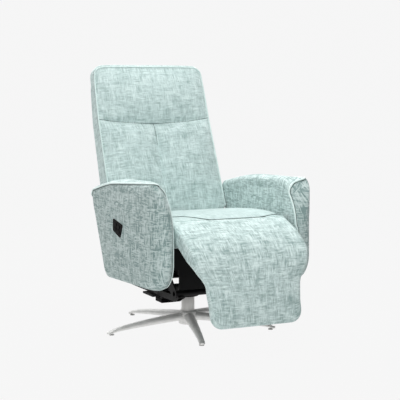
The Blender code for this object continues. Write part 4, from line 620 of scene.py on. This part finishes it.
def seat_form(x, way, up):
    """The seat between its front hollow and its slanted rear: heights run evenly from the floor to a top that
    rises with the share of the depth to the power 0.7 and falls with the power 1.4, is rounded over at each
    side and is pulled down along the curved front seam."""
    level = SEAT_FLOOR + up * (SEAT_LIP - SEAT_FLOOR)
    drop = np.clip(level - LEG_PIVOT[1], KNUCKLE_LOW, KNUCKLE_HIGH)
    front = LEG_PIVOT[0] + np.sqrt(KNUCKLE_ROOM ** 2 - drop ** 2)
    rear_level = SEAT_FLOOR + up * (SEAT_LIP + SEAT_RISE - SEAT_FALL - SEAT_FLOOR)
    rear = BACK_PIVOT[0] + ((rear_level - BACK_PIVOT[1]) * BACK_ALONG[0] - SEAT_BACK_GAP) / BACK_ALONG[1]
    y = front + way * (rear - front)
    edge = np.clip((np.abs(x) - SEAT_HALF + SEAT_SIDE_ROUND) / SEAT_SIDE_ROUND, 0.0, 1.0)
    fall = SEAT_SIDE_ROUND * (1.0 - np.sqrt(1.0 - edge ** 2))
    top = SEAT_LIP + SEAT_RISE * way ** 0.7 - SEAT_FALL * way ** 1.4 - fall
    top = top - SEAM_DEPTH * np.exp(-((y - seat_seam(x)) / SEAM_WIDTH) ** 2)
    return np.column_stack([x, y, SEAT_FLOOR + up * (top - SEAT_FLOOR)])


across = grid_lines((-SEAT_HALF, 6), (-SEAT_HALF + SEAT_SIDE_ROUND, 60), (SEAT_HALF - SEAT_SIDE_ROUND, 6),
                    (SEAT_HALF, 0))
deep = grid_lines((0.0, 20), (0.22, 46), (0.95, 5), (1.0, 0))
places, panels, number = six_panels(across, deep, np.linspace(0.0, 1.0, 13))
verts = seat_form(*places.T)
faces, flat = cut_cloth(verts, panels)
seat_cover = skin("seat_cover", verts, faces, lit_seat_cloth, flat)
sewn = (places[:, 2] < 0.99) | (places[:, 1] < 0.01)
sewn = sewn | (np.abs(verts[:, 1] - seat_seam(places[:, 0])) < 0.005)
fill(seat_cover, sewn, FOAM_PRESSURE, SEAT_FILL)
refine(seat_cover)
# The seat's front seam: real stitching, drawn as a dark thread whose darkness is painted shade in the seam's
# groove.
line = np.linspace(-SEAM_REACH, SEAM_REACH, SEAT_STITCHES)
lip, rear = verts[number[0, 0, -1], 1], verts[number[0, -1, -1], 1]
path = seat_form(line, (seat_seam(line) - lip) / (rear - lip), np.ones_like(line))
facing = np.tile([0.0, 0.0, 1.0], (SEAT_STITCHES, 1))
seat_line = laid_line("seat_seam", path, facing, SEAT_THREAD, SEAT_THREAD_LIFT, shadow_thread)
for piece in (seat_cover, seat_line):
    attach(piece, "seat")
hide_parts("seat_cushion")


# Arms: a plywood board wrapped in foam, in a cover of two panels that meet in a welt.
# The outer panel wraps round the front; the welt runs along the outer top edge and down the inner front edge.
ARM_CREST = 0.295
ARM_INNER = 0.2755
ARM_OUTER = 0.347
ARM_BULGE = 0.008
ARM_SWELL = 0.009
ARM_FILL = 0.002
ARM_MIDDLE = np.array([-0.05, 0.43])
ARM_CORNERS = np.array([[[-0.387, 0.240], [-0.387, 0.652]], [[0.176, 0.222], [0.340, 0.588]]])
# Corner radii by front or rear and low or high; the high front one comes from FRONT_ROUND instead.
ARM_ROUNDS = np.array([[0.110, 0.170], [0.065, 0.030]])
FRONT_ROUND, FRONT_ROUND_MORE = 0.018, 0.152
# How far the outer and inner faces draw in at the front, top, bottom and rear.
ARM_WRAPS = ((0.130, 0.042), (0.024, 0.020), (0.014, 0.010), (0.050, 0.020))
ARC_SHARE = 0.34
ARM_SHOULDER = np.array([0.068, 0.641])
SHOULDER_RUN = 0.120
SHOULDER_TURN = 0.171
WELT_LOW_TURN, WELT_LOW_MORE = -76.0, 16.0
WELT_TOP_TURN, WELT_TOP_MORE = 27.0, 41.0
ARM_WELT, ARM_WELT_LIFT = 0.0040, 0.0012
# The dark line beside each welt is painted shadow of the welt: its radius, lift and offset.
ARM_SHADOW_LINE, ARM_SHADOW_LINE_LIFT, ARM_SHADOW_LINE_BESIDE = 0.0016, -0.0002, 0.0044
SWITCH_PLACE = (-0.030, 0.450)
SWITCH_ROOM = 0.085


def arm_outline(b, c, inward):
    """The arm's side outline at a place (b, c) on the unit square's edge, drawn in at its front, top, bottom
    and rear: straight half edges joined at each corner by a circular arc, written as a rational curve. The
    two top halves meet at the shoulder, which is eased by a parabola."""
    draw_front, draw_top, draw_low, draw_rear, front_round = inward
    rear, high = b > 0.0, c > 0.0

    def corner(is_rear, is_high):
        """The outline's corner of each point, drawn in on its two sides."""
        place = ARM_CORNERS[is_rear.astype(int), is_high.astype(int)]
        y = place[:, 0] + np.where(is_rear, -draw_rear, draw_front)
        z = place[:, 1] + np.where(is_high, -draw_top, draw_low)
        return np.column_stack([y, z])

    here = corner(rear, high)
    upright = (here + corner(rear, ~high)) / 2.0
    shoulder = ARM_SHOULDER - np.column_stack([np.zeros_like(draw_top), draw_top])
    level = np.where(high[:, None], shoulder, (here + corner(~rear, high)) / 2.0)
    radius = np.where(high & ~rear, front_round, ARM_ROUNDS[rear.astype(int), high.astype(int)])
    arms = [upright - here, level - here]
    lengths = [np.linalg.norm(arm, axis=1, keepdims=True) for arm in arms]
    ways = [arm / length for arm, length in zip(arms, lengths)]
    half = np.arccos(np.clip((ways[0] * ways[1]).sum(axis=1), -1.0, 1.0)) / 2.0
    back = (radius / np.tan(half))[:, None]
    first, last = here + ways[0] * back, here + ways[1] * back
    t = np.abs(c) - np.abs(b)
    u = np.clip((t + ARC_SHARE) / (2.0 * ARC_SHARE), 0.0, 1.0)[:, None]
    weight = np.sin(half)[:, None]
    arc = ((1 - u) ** 2 * first + 2 * u * (1 - u) * weight * here + u ** 2 * last)
    arc = arc / ((1 - u) ** 2 + 2 * u * (1 - u) * weight + u ** 2)
    before = np.clip((-t - ARC_SHARE) / (1.0 - ARC_SHARE), 0.0, 1.0)[:, None]
    after = np.clip((t - ARC_SHARE) / (1.0 - ARC_SHARE), 0.0, 1.0)[:, None]
    rim = arc + before * (upright - first) + after * (level - last)
    near = np.clip(SHOULDER_RUN - np.abs(rim[:, 0] - ARM_SHOULDER[0]), 0.0, None)
    rim[:, 1] -= np.where(high, SHOULDER_TURN * near ** 2 / (4.0 * SHOULDER_RUN), 0.0)
    return rim


def arm_form(a, b, c):
    """The arm as rings about its outline: a ring turns from -90 degrees on the inner face through the crest
    to 90 degrees on the outer face, where the outline is drawn in by 1 - cos of the turn times each side's
    wrap. The welt is the ring a = 0: inner side at the front, bottom and rear, outer side along the top. The
    inner side is fuller above the seat and in front of it."""
    reach = np.maximum(np.maximum(np.abs(b), np.abs(c)), 1e-9)
    edge_b, edge_c = b / reach, c / reach
    climb = np.where(edge_b > 0.999, ease((edge_c + 0.2) / 1.2), 0.0)
    climb = np.where(edge_c > 0.999, ease((edge_b + 1.0) / 0.20), climb)
    low_turn = WELT_LOW_TURN + WELT_LOW_MORE * ease((0.9 - edge_c) / 0.8)
    top_turn = WELT_TOP_TURN + WELT_TOP_MORE * ease((edge_b + 0.9) / 0.8)
    welt_turn = np.radians(low_turn + (top_turn - low_turn) * climb)
    turn = welt_turn + a * np.where(a > 0, np.pi / 2 - welt_turn, np.pi / 2 + welt_turn)
    share = 1.0 - np.cos(turn)
    out = turn > 0.0
    wraps = [np.where(out, outer, inner) * share for outer, inner in ARM_WRAPS]
    front_round = FRONT_ROUND + FRONT_ROUND_MORE * np.clip(1.0 - np.sin(turn), 0.0, 1.0) ** 2.2
    rim = arm_outline(edge_b, edge_c, (*wraps, front_round))
    side = ARM_MIDDLE + reach[:, None] * (rim - ARM_MIDDLE)
    x = ARM_CREST + np.sin(turn) * np.where(out, ARM_OUTER - ARM_CREST, ARM_CREST - ARM_INNER)
    x = x + np.where(a >= 1.0, ARM_BULGE * (1.0 - ease((reach - 0.36) / 0.64)), 0.0)
    above = ease((side[:, 1] - 0.38) / 0.08)
    fuller = above * ease((0.16 - side[:, 0]) / 0.10) + (1.0 - above) * ease((-0.26 - side[:, 0]) / 0.06)
    x = x + ARM_SWELL * np.minimum(np.sin(turn), 0.0) * fuller
    return np.column_stack([x, side])


def wrapped_cloth(verts, panels):
    """Faces of an arm, and each corner's place on cloth that lies flat on both sides and is wrapped from the
    outer side round the front, rear, bottom and top: there its place runs on by the length of the way."""
    faces, flat = [], []
    for panel, (way, sign) in zip(panels, ((0, 0), (0, 0), (0, -1), (0, 1), (1, -1), (1, 1))):
        place = verts[panel]
        sheet = place[..., 1:].copy()
        if sign:
            steps = np.linalg.norm(np.diff(place[..., [0, 1 + way]], axis=0), axis=2)
            run = np.cumsum(np.vstack([steps, np.zeros_like(steps[:1])])[::-1], axis=0)[::-1]
            sheet[..., way] = sheet[-1, :, way] + sign * run
        faces.append(corners(panel[..., None]).reshape(-1, 4))
        flat.append(corners(sheet).reshape(-1, 2))
    return np.vstack(faces).tolist(), np.vstack(flat)


# Arm linen: the same cloth with bolder slubs, a shaded copy whose stronger contrast is painted shade for the
# arms' sides.
arm_shade_cloth = weave("mint_linen_weave_arms_shade", LINEN_TONES, 1.0, 0.20)
# Outer linen: darker tones and the boldest slubs, painted shade for the panels that face outwards, away from
# the lights.
OUTER_SHADE_TONES = ((0.34, "#7C9290"), (0.50, "#A2B4B2"), (0.66, "#BECDCB"))
outer_shade_cloth = weave("mint_linen_weave_outer_shade", OUTER_SHADE_TONES, 1.35, 0.26)
# Welt cloth: the same weave round a cord, in paler tones that are a painted highlight where the rounded cord
# catches the light.
WELT_HIGHLIGHT_TONES = ((0.30, "#C4DAD6"), (0.48, "#DCEDEA"), (0.64, "#EAF6F4"))
welt_highlight_cloth = weave("mint_welt_highlight_cloth", WELT_HIGHLIGHT_TONES, 0.3, 0.1)

places, panels, number = six_panels(np.linspace(-1.0, 1.0, 17), np.linspace(-1.0, 1.0, 71),
                                    np.linspace(-1.0, 1.0, 57))
form = arm_form(*places.T)
switch_near = np.hypot(form[:, 1] - SWITCH_PLACE[0], form[:, 2] - SWITCH_PLACE[1]) < SWITCH_ROOM
still = (np.abs(places[:, 0]) < 0.01) | (places[:, 0] < -0.99) | switch_near
ring = number[8]
welt_loop = np.concatenate([ring[:, 0][:-1], ring[-1, :][:-1], ring[::-1, -1][:-1], ring[0, ::-1][:-1]])
for side, sign in (("left", -1.0), ("right", 1.0)):
    verts = form * np.array([sign, 1.0, 1.0])
    faces, flat = wrapped_cloth(verts, panels)
    arm = skin("arm_cover_" + side, verts, faces, arm_shade_cloth, flat)
    arm.data.materials.append(outer_shade_cloth)
    # The faces on the outer side take the darker linen: painted shade on the panels that face away from the
    # lights.
    outer = places[np.array(faces), 0].mean(axis=1) > 0.0
    arm.data.polygons.foreach_set("material_index", outer.astype(np.int32))
    fill(arm, still, FOAM_PRESSURE, ARM_FILL)
    path = points_of(arm.data)[welt_loop]
    facing = points_of(arm.data, "vertex_normals", "vector")[welt_loop]
    beside = unit(np.cross(headings(path, True), facing))
    beside = beside * np.sign((beside[:, :1] * sign).sum())
    refine(arm)
    welt = laid_line("arm_welt_" + side, path, facing, ARM_WELT, ARM_WELT_LIFT, welt_highlight_cloth, closed=True)
    # Beside each welt a dark thread tube is laid: painted shadow cast by the welt onto the panel.
    shadow_line = laid_line("arm_shadow_line_" + side, path + beside * ARM_SHADOW_LINE_BESIDE, facing, ARM_SHADOW_LINE,
                      ARM_SHADOW_LINE_LIFT, shadow_thread, closed=True)
    for piece in (arm, welt, shadow_line):
        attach(piece, "seat")
    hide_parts("arm_pad_" + side)


# Switch: a moulded plate let into the left arm's cover and held by the arm's board.
# Its four keys stand on springs: two for the lift, one for the back and one for the legrest.
coat(black_plastic, "switch_plate", "key_lift", "key_lower", "key_recline", "key_legrest")


# Backrest and headrest: foam on the back board and on the head frame, in one cover that bends at the head
# hinge. A welt runs round the front panel, a curved seam marks the head off, and a seam below it halves the
# back.
BACK_LENGTH = 0.4845
HEAD_LENGTH = 0.254
BACK_STOPS = (0.0, BACK_LENGTH, BACK_LENGTH + HEAD_LENGTH)
BACK_HALF = 0.2725
BACK_HALVES = (BACK_HALF, 0.2665, 0.2595)
BACK_THICKS = (0.106, 0.080, 0.056)
BACK_EDGE = 0.011
BACK_FACE, HEAD_FACE = 0.053, 0.0315
FOOT_ROUND = 0.053
FOOT_DRAWN = 0.037
HEAD_CAP = 0.014
HEAD_BOW = 0.045
HEAD_ORIGIN = np.array([0.44952, 0.85439])
HEAD_ALONG = np.array([0.32557, 0.94552])
HEAD_NORMAL = np.array([-0.94552, 0.32557])
HINGE_BEND = 0.03
COVER_TOP = BACK_LENGTH + HEAD_LENGTH - HEAD_CAP
HEAD_SEAM = 0.489
HEAD_DIP, HEAD_DIP_RUN = 0.024, 0.075
HEAD_DITCH, HEAD_DITCH_RUN = 0.010, 0.010
BACK_CROWN = 0.034
HEAD_CROWN = 0.030
BACK_FILL = 0.010
VALLEY = -0.0108
VALLEY_DEPTH = 0.83
CREASE_RUN, HOLLOW_RUN = 0.012, 0.060
BACK_WELT, BACK_WELT_LIFT = 0.0036, 0.0010
# The dark line beside the back welt is painted shadow of the welt: its radius and offset.
BACK_SHADOW_LINE, BACK_SHADOW_LINE_BESIDE = 0.0014, 0.0042
HEAD_THREAD = 0.0013
CENTRE_THREAD = 0.0011
CENTRE_SINK = ((0.10, 0.22, 0.34, 0.42), (0.0004, -0.0012, -0.0008, 0.0004))


def rounded_section(u, v, half_u, half_v, radius):
    """Nested squares (u, v from -1 to 1) as nested rounded rectangles: each edge point is pushed out by the
    radius from the nearest point of a rectangle drawn in by that radius."""
    reach = np.maximum(np.maximum(np.abs(u), np.abs(v)), 1e-9)
    edge_u, edge_v = u / reach * half_u, v / reach * half_v
    core_u = np.clip(edge_u, radius - half_u, half_u - radius)
    core_v = np.clip(edge_v, radius - half_v, half_v - radius)
    push = radius / np.maximum(np.hypot(edge_u - core_u, edge_v - core_v), 1e-9)
    return reach * (core_u + (edge_u - core_u) * push), reach * (core_v + (edge_v - core_v) * push)


def back_form(x, way, depth):
    """The back and head as a tapering rounded slab: its section is a rounded rectangle, its foot closes as a
    half circle and its top as a squarer curve, and its top corners drop as a quarter circle. The front is
    crowned above and below the dipping head seam, with a crease in a soft hollow down the back's middle."""
    t = x / BACK_HALF
    v = 2.0 * depth - 1.0
    mark = way
    way = way - HEAD_DIP * (1.0 - t ** 2) * np.exp(-((way - HEAD_SEAM) / HEAD_DIP_RUN) ** 2)
    half = np.interp(way, BACK_STOPS, BACK_HALVES)
    half = half - FOOT_DRAWN * (1.0 - ease((way - 0.028) / 0.045))
    thick = np.interp(way, BACK_STOPS, BACK_THICKS)
    across, lift = rounded_section(t, v, half, thick / 2.0, BACK_EDGE)
    edge = np.clip((np.abs(x) - BACK_HALF + HEAD_BOW) / HEAD_BOW, 0.0, 1.0)
    drop = HEAD_BOW * (1.0 - np.sqrt(1.0 - edge ** 2))
    s = way + HEAD_CAP * (1.0 - v ** 4) ** 0.25 * ease((way - COVER_TOP + 0.03) / 0.03)
    s = s - FOOT_ROUND * np.sqrt(1.0 - v ** 2) * (1.0 - ease(way / 0.045))
    s = s - drop * ease((way - COVER_TOP + 0.11) / 0.11)
    flat = 1.0 - t ** 4
    low = ease((way - 0.02) / 0.20)
    crease, hollow = [np.exp(-((x - VALLEY) / run) ** 2) for run in (CREASE_RUN, HOLLOW_RUN)]
    valley = 0.35 * crease + 0.65 * hollow
    near_seam = 0.15 + 0.85 * ease((HEAD_SEAM - mark) / 0.07)
    back_crown = BACK_CROWN * low * near_seam * (flat - VALLEY_DEPTH * valley)
    share = np.clip((mark - HEAD_SEAM) / (COVER_TOP - HEAD_SEAM), 0.0, 1.0)
    head_crown = HEAD_CROWN * flat * np.sin(np.pi * (0.03 + 0.90 * share)) ** 0.75
    crown = np.where(mark < HEAD_SEAM, back_crown, head_crown)
    crown = crown - HEAD_DITCH * np.exp(-((mark - HEAD_SEAM) / HEAD_DITCH_RUN) ** 2) * flat
    out = lift - thick / 2.0 + crown * (0.5 + 0.5 * v) ** 2
    lower = BACK_PIVOT + np.outer(s, BACK_ALONG) + np.outer(BACK_FACE + out, BACK_NORMAL)
    upper = HEAD_ORIGIN + np.outer(s - BACK_LENGTH, HEAD_ALONG) + np.outer(HEAD_FACE + out, HEAD_NORMAL)
    turn = ease((s - BACK_LENGTH + HINGE_BEND) / (2.0 * HINGE_BEND))[:, None]
    return np.column_stack([across, lower * (1.0 - turn) + upper * turn])


def bowed(half, bow, middle):
    """Grid lines across a piece: the middle's own, then steps that follow a quarter circle at each corner."""
    bend = bow * np.sin(np.linspace(0.0, np.pi / 2.0, 8))[1:]
    return np.concatenate([-(half - bow + bend[::-1]), middle, half - bow + bend])


middle = grid_lines((HEAD_BOW - BACK_HALF, 24), (-0.018, 10), (0.018, 24), (BACK_HALF - HEAD_BOW, 0))
across = bowed(BACK_HALF, HEAD_BOW, middle)
along = grid_lines((0.0, 6), (0.05, 42), (HEAD_SEAM - 0.024, 12), (HEAD_SEAM + 0.024, 17),
                   (COVER_TOP - 0.05, 7), (COVER_TOP, 0))
depth = grid_lines((0.0, 3), (0.15, 8), (0.85, 3), (1.0, 0))
places, panels, number = six_panels(across, along, depth)
verts = back_form(*places.T)
faces, flat = cut_cloth(verts, panels)
back_cover = skin("back_cover", verts, faces, cover_cloth, flat)
seam_row = int(np.argmin(np.abs(along - HEAD_SEAM)))
middle_column = int(np.argmin(np.abs(across - VALLEY)))
still = (places[:, 2] < 0.999) | (np.abs(places[:, 0]) > BACK_HALF - 0.004)
still = still | (np.abs(places[:, 1] - along[seam_row]) < 0.003)
still = still | ((np.abs(places[:, 0] - VALLEY) < 0.003) & (places[:, 1] < HEAD_SEAM))
fill(back_cover, still, FOAM_PRESSURE, BACK_FILL)
solved = points_of(back_cover.data)
facing = points_of(back_cover.data, "vertex_normals", "vector")
front_panel = number[:, :, -1]
edge_loop = np.concatenate([front_panel[0, 8:], front_panel[1:-1, -1], front_panel[-1, 8:][::-1]])
head_row = front_panel[2:-2, seam_row]
centre_row = front_panel[middle_column, 6:seam_row + 1]
sink = np.interp(along[6:seam_row + 1], *CENTRE_SINK)[:, None]
edge_path, edge_facing = solved[edge_loop], facing[edge_loop]
beside = unit(np.cross(headings(edge_path, False), edge_facing))
beside = beside * np.sign(beside[:, 2].sum())
refine(back_cover)
# Back welt: thinner cord under the same cloth, in paler tones that are a painted highlight, a little darker
# than on the arms.
EDGE_HIGHLIGHT_TONES = ((0.30, "#B6CCC9"), (0.48, "#CBDEDB"), (0.64, "#DAEBE8"))
edge_highlight_cloth = weave("mint_edge_highlight_cloth", EDGE_HIGHLIGHT_TONES, 0.3, 0.1)
back_welt = laid_line("back_welt", edge_path, edge_facing, BACK_WELT, BACK_WELT_LIFT, edge_highlight_cloth)
# The head and centre seams are real stitching, drawn as dark thread whose darkness is painted shade in their
# grooves.
head_line = laid_line("head_seam", solved[head_row], facing[head_row], HEAD_THREAD, 0.0, shadow_thread)
centre_path = solved[centre_row] + sink * facing[centre_row]
centre_line = laid_line("centre_seam", centre_path, facing[centre_row], CENTRE_THREAD, 0.0, shadow_thread)
# Beside the welt a dark thread tube is laid: painted shadow cast by the welt onto the front panel.
shadow_line_path = edge_path + beside * BACK_SHADOW_LINE_BESIDE
back_shadow_line = laid_line("back_shadow_line", shadow_line_path, edge_facing, BACK_SHADOW_LINE, 0.0, shadow_thread)
for piece in (back_cover, back_welt, back_shadow_line, head_line, centre_line):
    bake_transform(piece)
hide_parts("back_pad", "head_pad")


# Legrest and foot flap: foam on the legrest's frame and on the flap's board, in one cover that bends over the
# flap's hinge. Its round knuckle turns in the seat's front hollow, and a thin dark line of painted shadow
# runs along the top of it, where it meets the seat.
LEG_ALONG = np.array([-0.87462, -0.48481])
LEG_HEADING = np.arctan2(-LEG_ALONG[1], -LEG_ALONG[0])
FLAP_ALONG = np.array([-0.22495, -0.97437])
LEG_HALF = 0.250
LEG_BOW = 0.060
FLAP_HALF = 0.190
FLAP_FLARE = 0.006
FLAP_BOW = 0.045
FLAP_CAP = 0.014
BEND_RADIUS = 0.060
KNUCKLE = 0.050
LEG_EDGE = 0.014
LEG_CROWN, FLAP_CROWN = 0.018, 0.008
LEG_DRAWN = 0.020
LEG_FILL = 0.006
LEG_TURN = np.arccos(LEG_ALONG @ FLAP_ALONG)
LEG_RUN = 0.2073 - BEND_RADIUS * np.tan(LEG_TURN / 2.0)
BEND_RUN = BEND_RADIUS * LEG_TURN
FLAP_RUN = 0.2335 - FLAP_CAP - BEND_RADIUS * np.tan(LEG_TURN / 2.0)
COVER_RUN = LEG_RUN + BEND_RUN + FLAP_RUN
# How far the top and the underside stand off the mid line, at distances along it.
LEG_TOP = ((0.0, LEG_RUN - 0.01, LEG_RUN + BEND_RUN + 0.01, COVER_RUN), (KNUCKLE, 0.047, 0.033, 0.032))
LEG_LOW = ((0.0, 0.075, LEG_RUN, LEG_RUN + BEND_RUN, LEG_RUN + BEND_RUN + 0.045, COVER_RUN),
           (KNUCKLE, 0.0205, 0.0205, 0.022, 0.0045, 0.0045))
# The dark line of painted shadow along the legrest's top: its depth on the cover, its ends, its points,
# radius and lift.
LEG_JOINT_LINE = 0.922
LEG_JOINT_LINE_ENDS = (-0.090, 0.170)
LEG_LINE_POINTS = 66
LEG_SHADOW_LINE, LEG_SHADOW_LINE_LIFT = 0.0011, 0.0002


def leg_path(s):
    """The mid line: straight down the legrest, round a 60 mm bend at the flap's hinge, straight down the
    flap. Returns the place and the outward normal at each distance."""
    angle = LEG_HEADING + np.clip(s - LEG_RUN, 0.0, BEND_RUN) / BEND_RADIUS
    way = np.column_stack([-np.cos(angle), -np.sin(angle)])
    normal = np.column_stack([-np.sin(angle), np.cos(angle)])
    turn = np.column_stack([np.sin(LEG_HEADING) - np.sin(angle), np.cos(angle) - np.cos(LEG_HEADING)])
    place = LEG_PIVOT + np.outer(np.minimum(s, LEG_RUN), LEG_ALONG) + turn * BEND_RADIUS
    last = np.maximum(s - LEG_RUN - BEND_RUN, 0.0)[:, None]
    return place + last * way, normal


def leg_form(x, way, depth):
    """The cover as a rounded section along the mid line: its top and underside stand off by set amounts at
    the knuckle, the bend and the flap, its lower side edges are drawn up, its width narrows below the bend
    and its end is bowed."""
    t = x / LEG_HALF
    v = 2.0 * depth - 1.0
    on_flap = way - LEG_RUN - BEND_RUN / 2.0
    half = LEG_HALF - (LEG_HALF - FLAP_HALF - FLAP_FLARE) * ease((on_flap + 0.035) / 0.125)
    half = half - FLAP_FLARE * ease((on_flap - 0.08) / 0.08)
    top = np.interp(way, *LEG_TOP)
    low = np.interp(way, *LEG_LOW)
    across, lift = rounded_section(t, v, half, (top + low) / 2.0, LEG_EDGE)
    edge = np.clip((np.abs(t) * half - half + FLAP_BOW) / FLAP_BOW, 0.0, 1.0)
    drop = FLAP_BOW * (1.0 - np.sqrt(1.0 - edge ** 2))
    s = way - KNUCKLE * np.sqrt(1.0 - v ** 2) * (1.0 - ease(way / 0.05))
    s = s + FLAP_CAP * np.sqrt(1.0 - v ** 2) * ease((way - COVER_RUN + 0.03) / 0.03)
    s = s - drop * ease((way - COVER_RUN + 0.09) / 0.09)
    leg_share = np.clip(way / (LEG_RUN + BEND_RUN), 0.0, 1.0)
    leg_crown = LEG_CROWN * (1.0 - 0.15 * t ** 4) * np.sin(np.pi * leg_share)
    flap_share = np.clip(on_flap / (FLAP_RUN + BEND_RUN / 2.0), 0.0, 1.0)
    flap_crown = FLAP_CROWN * (1.0 - t ** 4) * np.sin(np.pi * flap_share)
    drawn = LEG_DRAWN * ease((np.abs(t) - 0.72) / 0.28) * (0.5 - 0.5 * v)
    drawn = drawn * (1.0 - ease((on_flap - 0.03) / 0.08))
    out = lift + (top - low) / 2.0 + (leg_crown + flap_crown) * (0.5 + 0.5 * v) ** 2 + drawn
    place, normal = leg_path(np.clip(s, 0.0, None))
    place = place + np.minimum(s, 0.0)[:, None] * LEG_ALONG
    return np.column_stack([across, place + out[:, None] * normal])


across = bowed(LEG_HALF, LEG_BOW, grid_lines((LEG_BOW - LEG_HALF, 48), (LEG_HALF - LEG_BOW, 0)))
along = grid_lines((0.0, 7), (0.05, 52), (COVER_RUN - 0.04, 7), (COVER_RUN, 0))
depth = grid_lines((0.0, 3), (0.2, 6), (0.8, 3), (1.0, 0))
places, panels, _ = six_panels(across, along, depth)
verts = leg_form(*places.T)
faces, flat = cut_cloth(verts, panels)
# Legrest linen: the same cloth, with bolder slubs than the back's and quieter ones than the arms', a copy
# whose stronger contrast is painted shade for the legrest and flap.
leg_shade_cloth = weave("mint_linen_weave_legrest_shade", LINEN_TONES, 0.70, 0.20)
legrest_cover = skin("legrest_cover", verts, faces, leg_shade_cloth, flat)
still = (places[:, 2] < 0.999) | (places[:, 1] < 0.01)
fill(legrest_cover, still, FOAM_PRESSURE, LEG_FILL)
refine(legrest_cover)
# A thin dark tube along the legrest's top where it meets the seat: painted shadow of the joint between the
# two.
line = np.linspace(*LEG_JOINT_LINE_ENDS, LEG_LINE_POINTS)
path = leg_form(line, np.zeros(LEG_LINE_POINTS), np.full(LEG_LINE_POINTS, LEG_JOINT_LINE))
facing = (path - np.array([0.0, *LEG_PIVOT])) * np.array([0.0, 1.0, 1.0]) / KNUCKLE
leg_line = laid_line("legrest_joint_shadow", path, facing, LEG_SHADOW_LINE, LEG_SHADOW_LINE_LIFT, shadow_thread)
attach(leg_line, "legrest")
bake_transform(legrest_cover)
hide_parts("legrest_pad", "flap_pad")


# Studio: a pale translucent shooting table, lit evenly from below, that sweeps up behind.
# Soft lights hang overhead, at the front left and behind, in a pale room that gives little light itself.
TABLE_FIBRE = 0.5
TABLE_GLOW = 0.995
ROOM_LIGHT = 0.05
CAMERA_PLACE = (-1.984, -4.165, 1.011)
CAMERA_WAY = (0.4312, 0.8967, -0.1005)
LENS, SENSOR = 101.5, 36.0

# Lit sheet: matt white plastic that glows evenly, so that it shows almost no shadow.
table_sheet, tree, shader = blank("lit_table_sheet")
spot = add(tree, "ShaderNodeTexCoord").outputs["Object"]
fibre = add(tree, "ShaderNodeTexNoise", {"Vector": spot, "Scale": 1.0 / TABLE_FIBRE, "Detail": 2.0})
shade(tree, shader, {"Base Color": ramp(tree, fibre.outputs["Fac"], ((0.3, "#101010"), (0.7, "#121212"))),
                     "Roughness": 0.9, "Specular IOR Level": 0.0,
                     "Emission Color": linear("#F6F6F6"), "Emission Strength": TABLE_GLOW})


def sweep(width, front, rear, radius, rise):
    """A level sheet from front to rear that turns up through a quarter circle."""
    turn = np.linspace(0.0, np.pi / 2.0, 25)
    y = np.concatenate([np.linspace(front, rear, 20), rear + radius * np.sin(turn[1:]), [rear + radius]])
    z = np.concatenate([np.zeros(20), radius * (1.0 - np.cos(turn[1:])), [radius + rise]])
    x = np.linspace(-width, width, 12)
    grid = np.stack(np.broadcast_arrays(x[:, None], y[None], z[None]), axis=-1)
    index = np.arange(grid.shape[0] * grid.shape[1]).reshape(grid.shape[:2])
    return grid.reshape(-1, 3), corners(index[..., None]).reshape(-1, 4).tolist()


floor = skin("floor", *sweep(9.0, -9.0, 6.0, 3.0, 4.0), table_sheet)

world = bpy.data.worlds.new("studio")
bpy.context.scene.world = world
world.use_nodes = True
tree, room = world.node_tree, world.node_tree.nodes["Background"]
ray = add(tree, "ShaderNodeLightPath").outputs["Is Camera Ray"]
pale = add(tree, "ShaderNodeMapRange", {"Value": ray, "To Min": ROOM_LIGHT, "To Max": 1.0}).outputs["Result"]
shade(tree, room, {"Color": linear("#F5F5F5"), "Strength": pale})


def soft_light(name, place, target, size, power):
    """A square soft box at a place, facing a target."""
    lamp = bpy.data.lights.new(name, "AREA")
    lamp.size = size
    lamp.energy = power
    holder = bpy.data.objects.new(name, lamp)
    bpy.context.scene.collection.objects.link(holder)
    holder.location = place
    holder.rotation_euler = (Vector(target) - Vector(place)).to_track_quat("-Z", "Y").to_euler()


soft_light("overhead", (0.3, -0.6, 3.4), (0.0, 0.0, 0.4), 3.0, 90.0)
soft_light("front_left", (-2.6, -3.0, 2.0), (0.0, 0.0, 0.5), 2.0, 74.0)
soft_light("rear_high", (0.0, 2.0, 3.2), (0.0, 0.0, 0.5), 2.5, 99.0)

camera = bpy.data.objects.new("camera", bpy.data.cameras.new("camera"))
bpy.context.scene.collection.objects.link(camera)
camera.location = CAMERA_PLACE
camera.rotation_euler = Vector(CAMERA_WAY).to_track_quat("-Z", "Y").to_euler()
camera.data.lens = LENS
camera.data.sensor_width = SENSOR
bpy.context.scene.camera = camera
bpy.context.scene.view_settings.view_transform = "Standard"
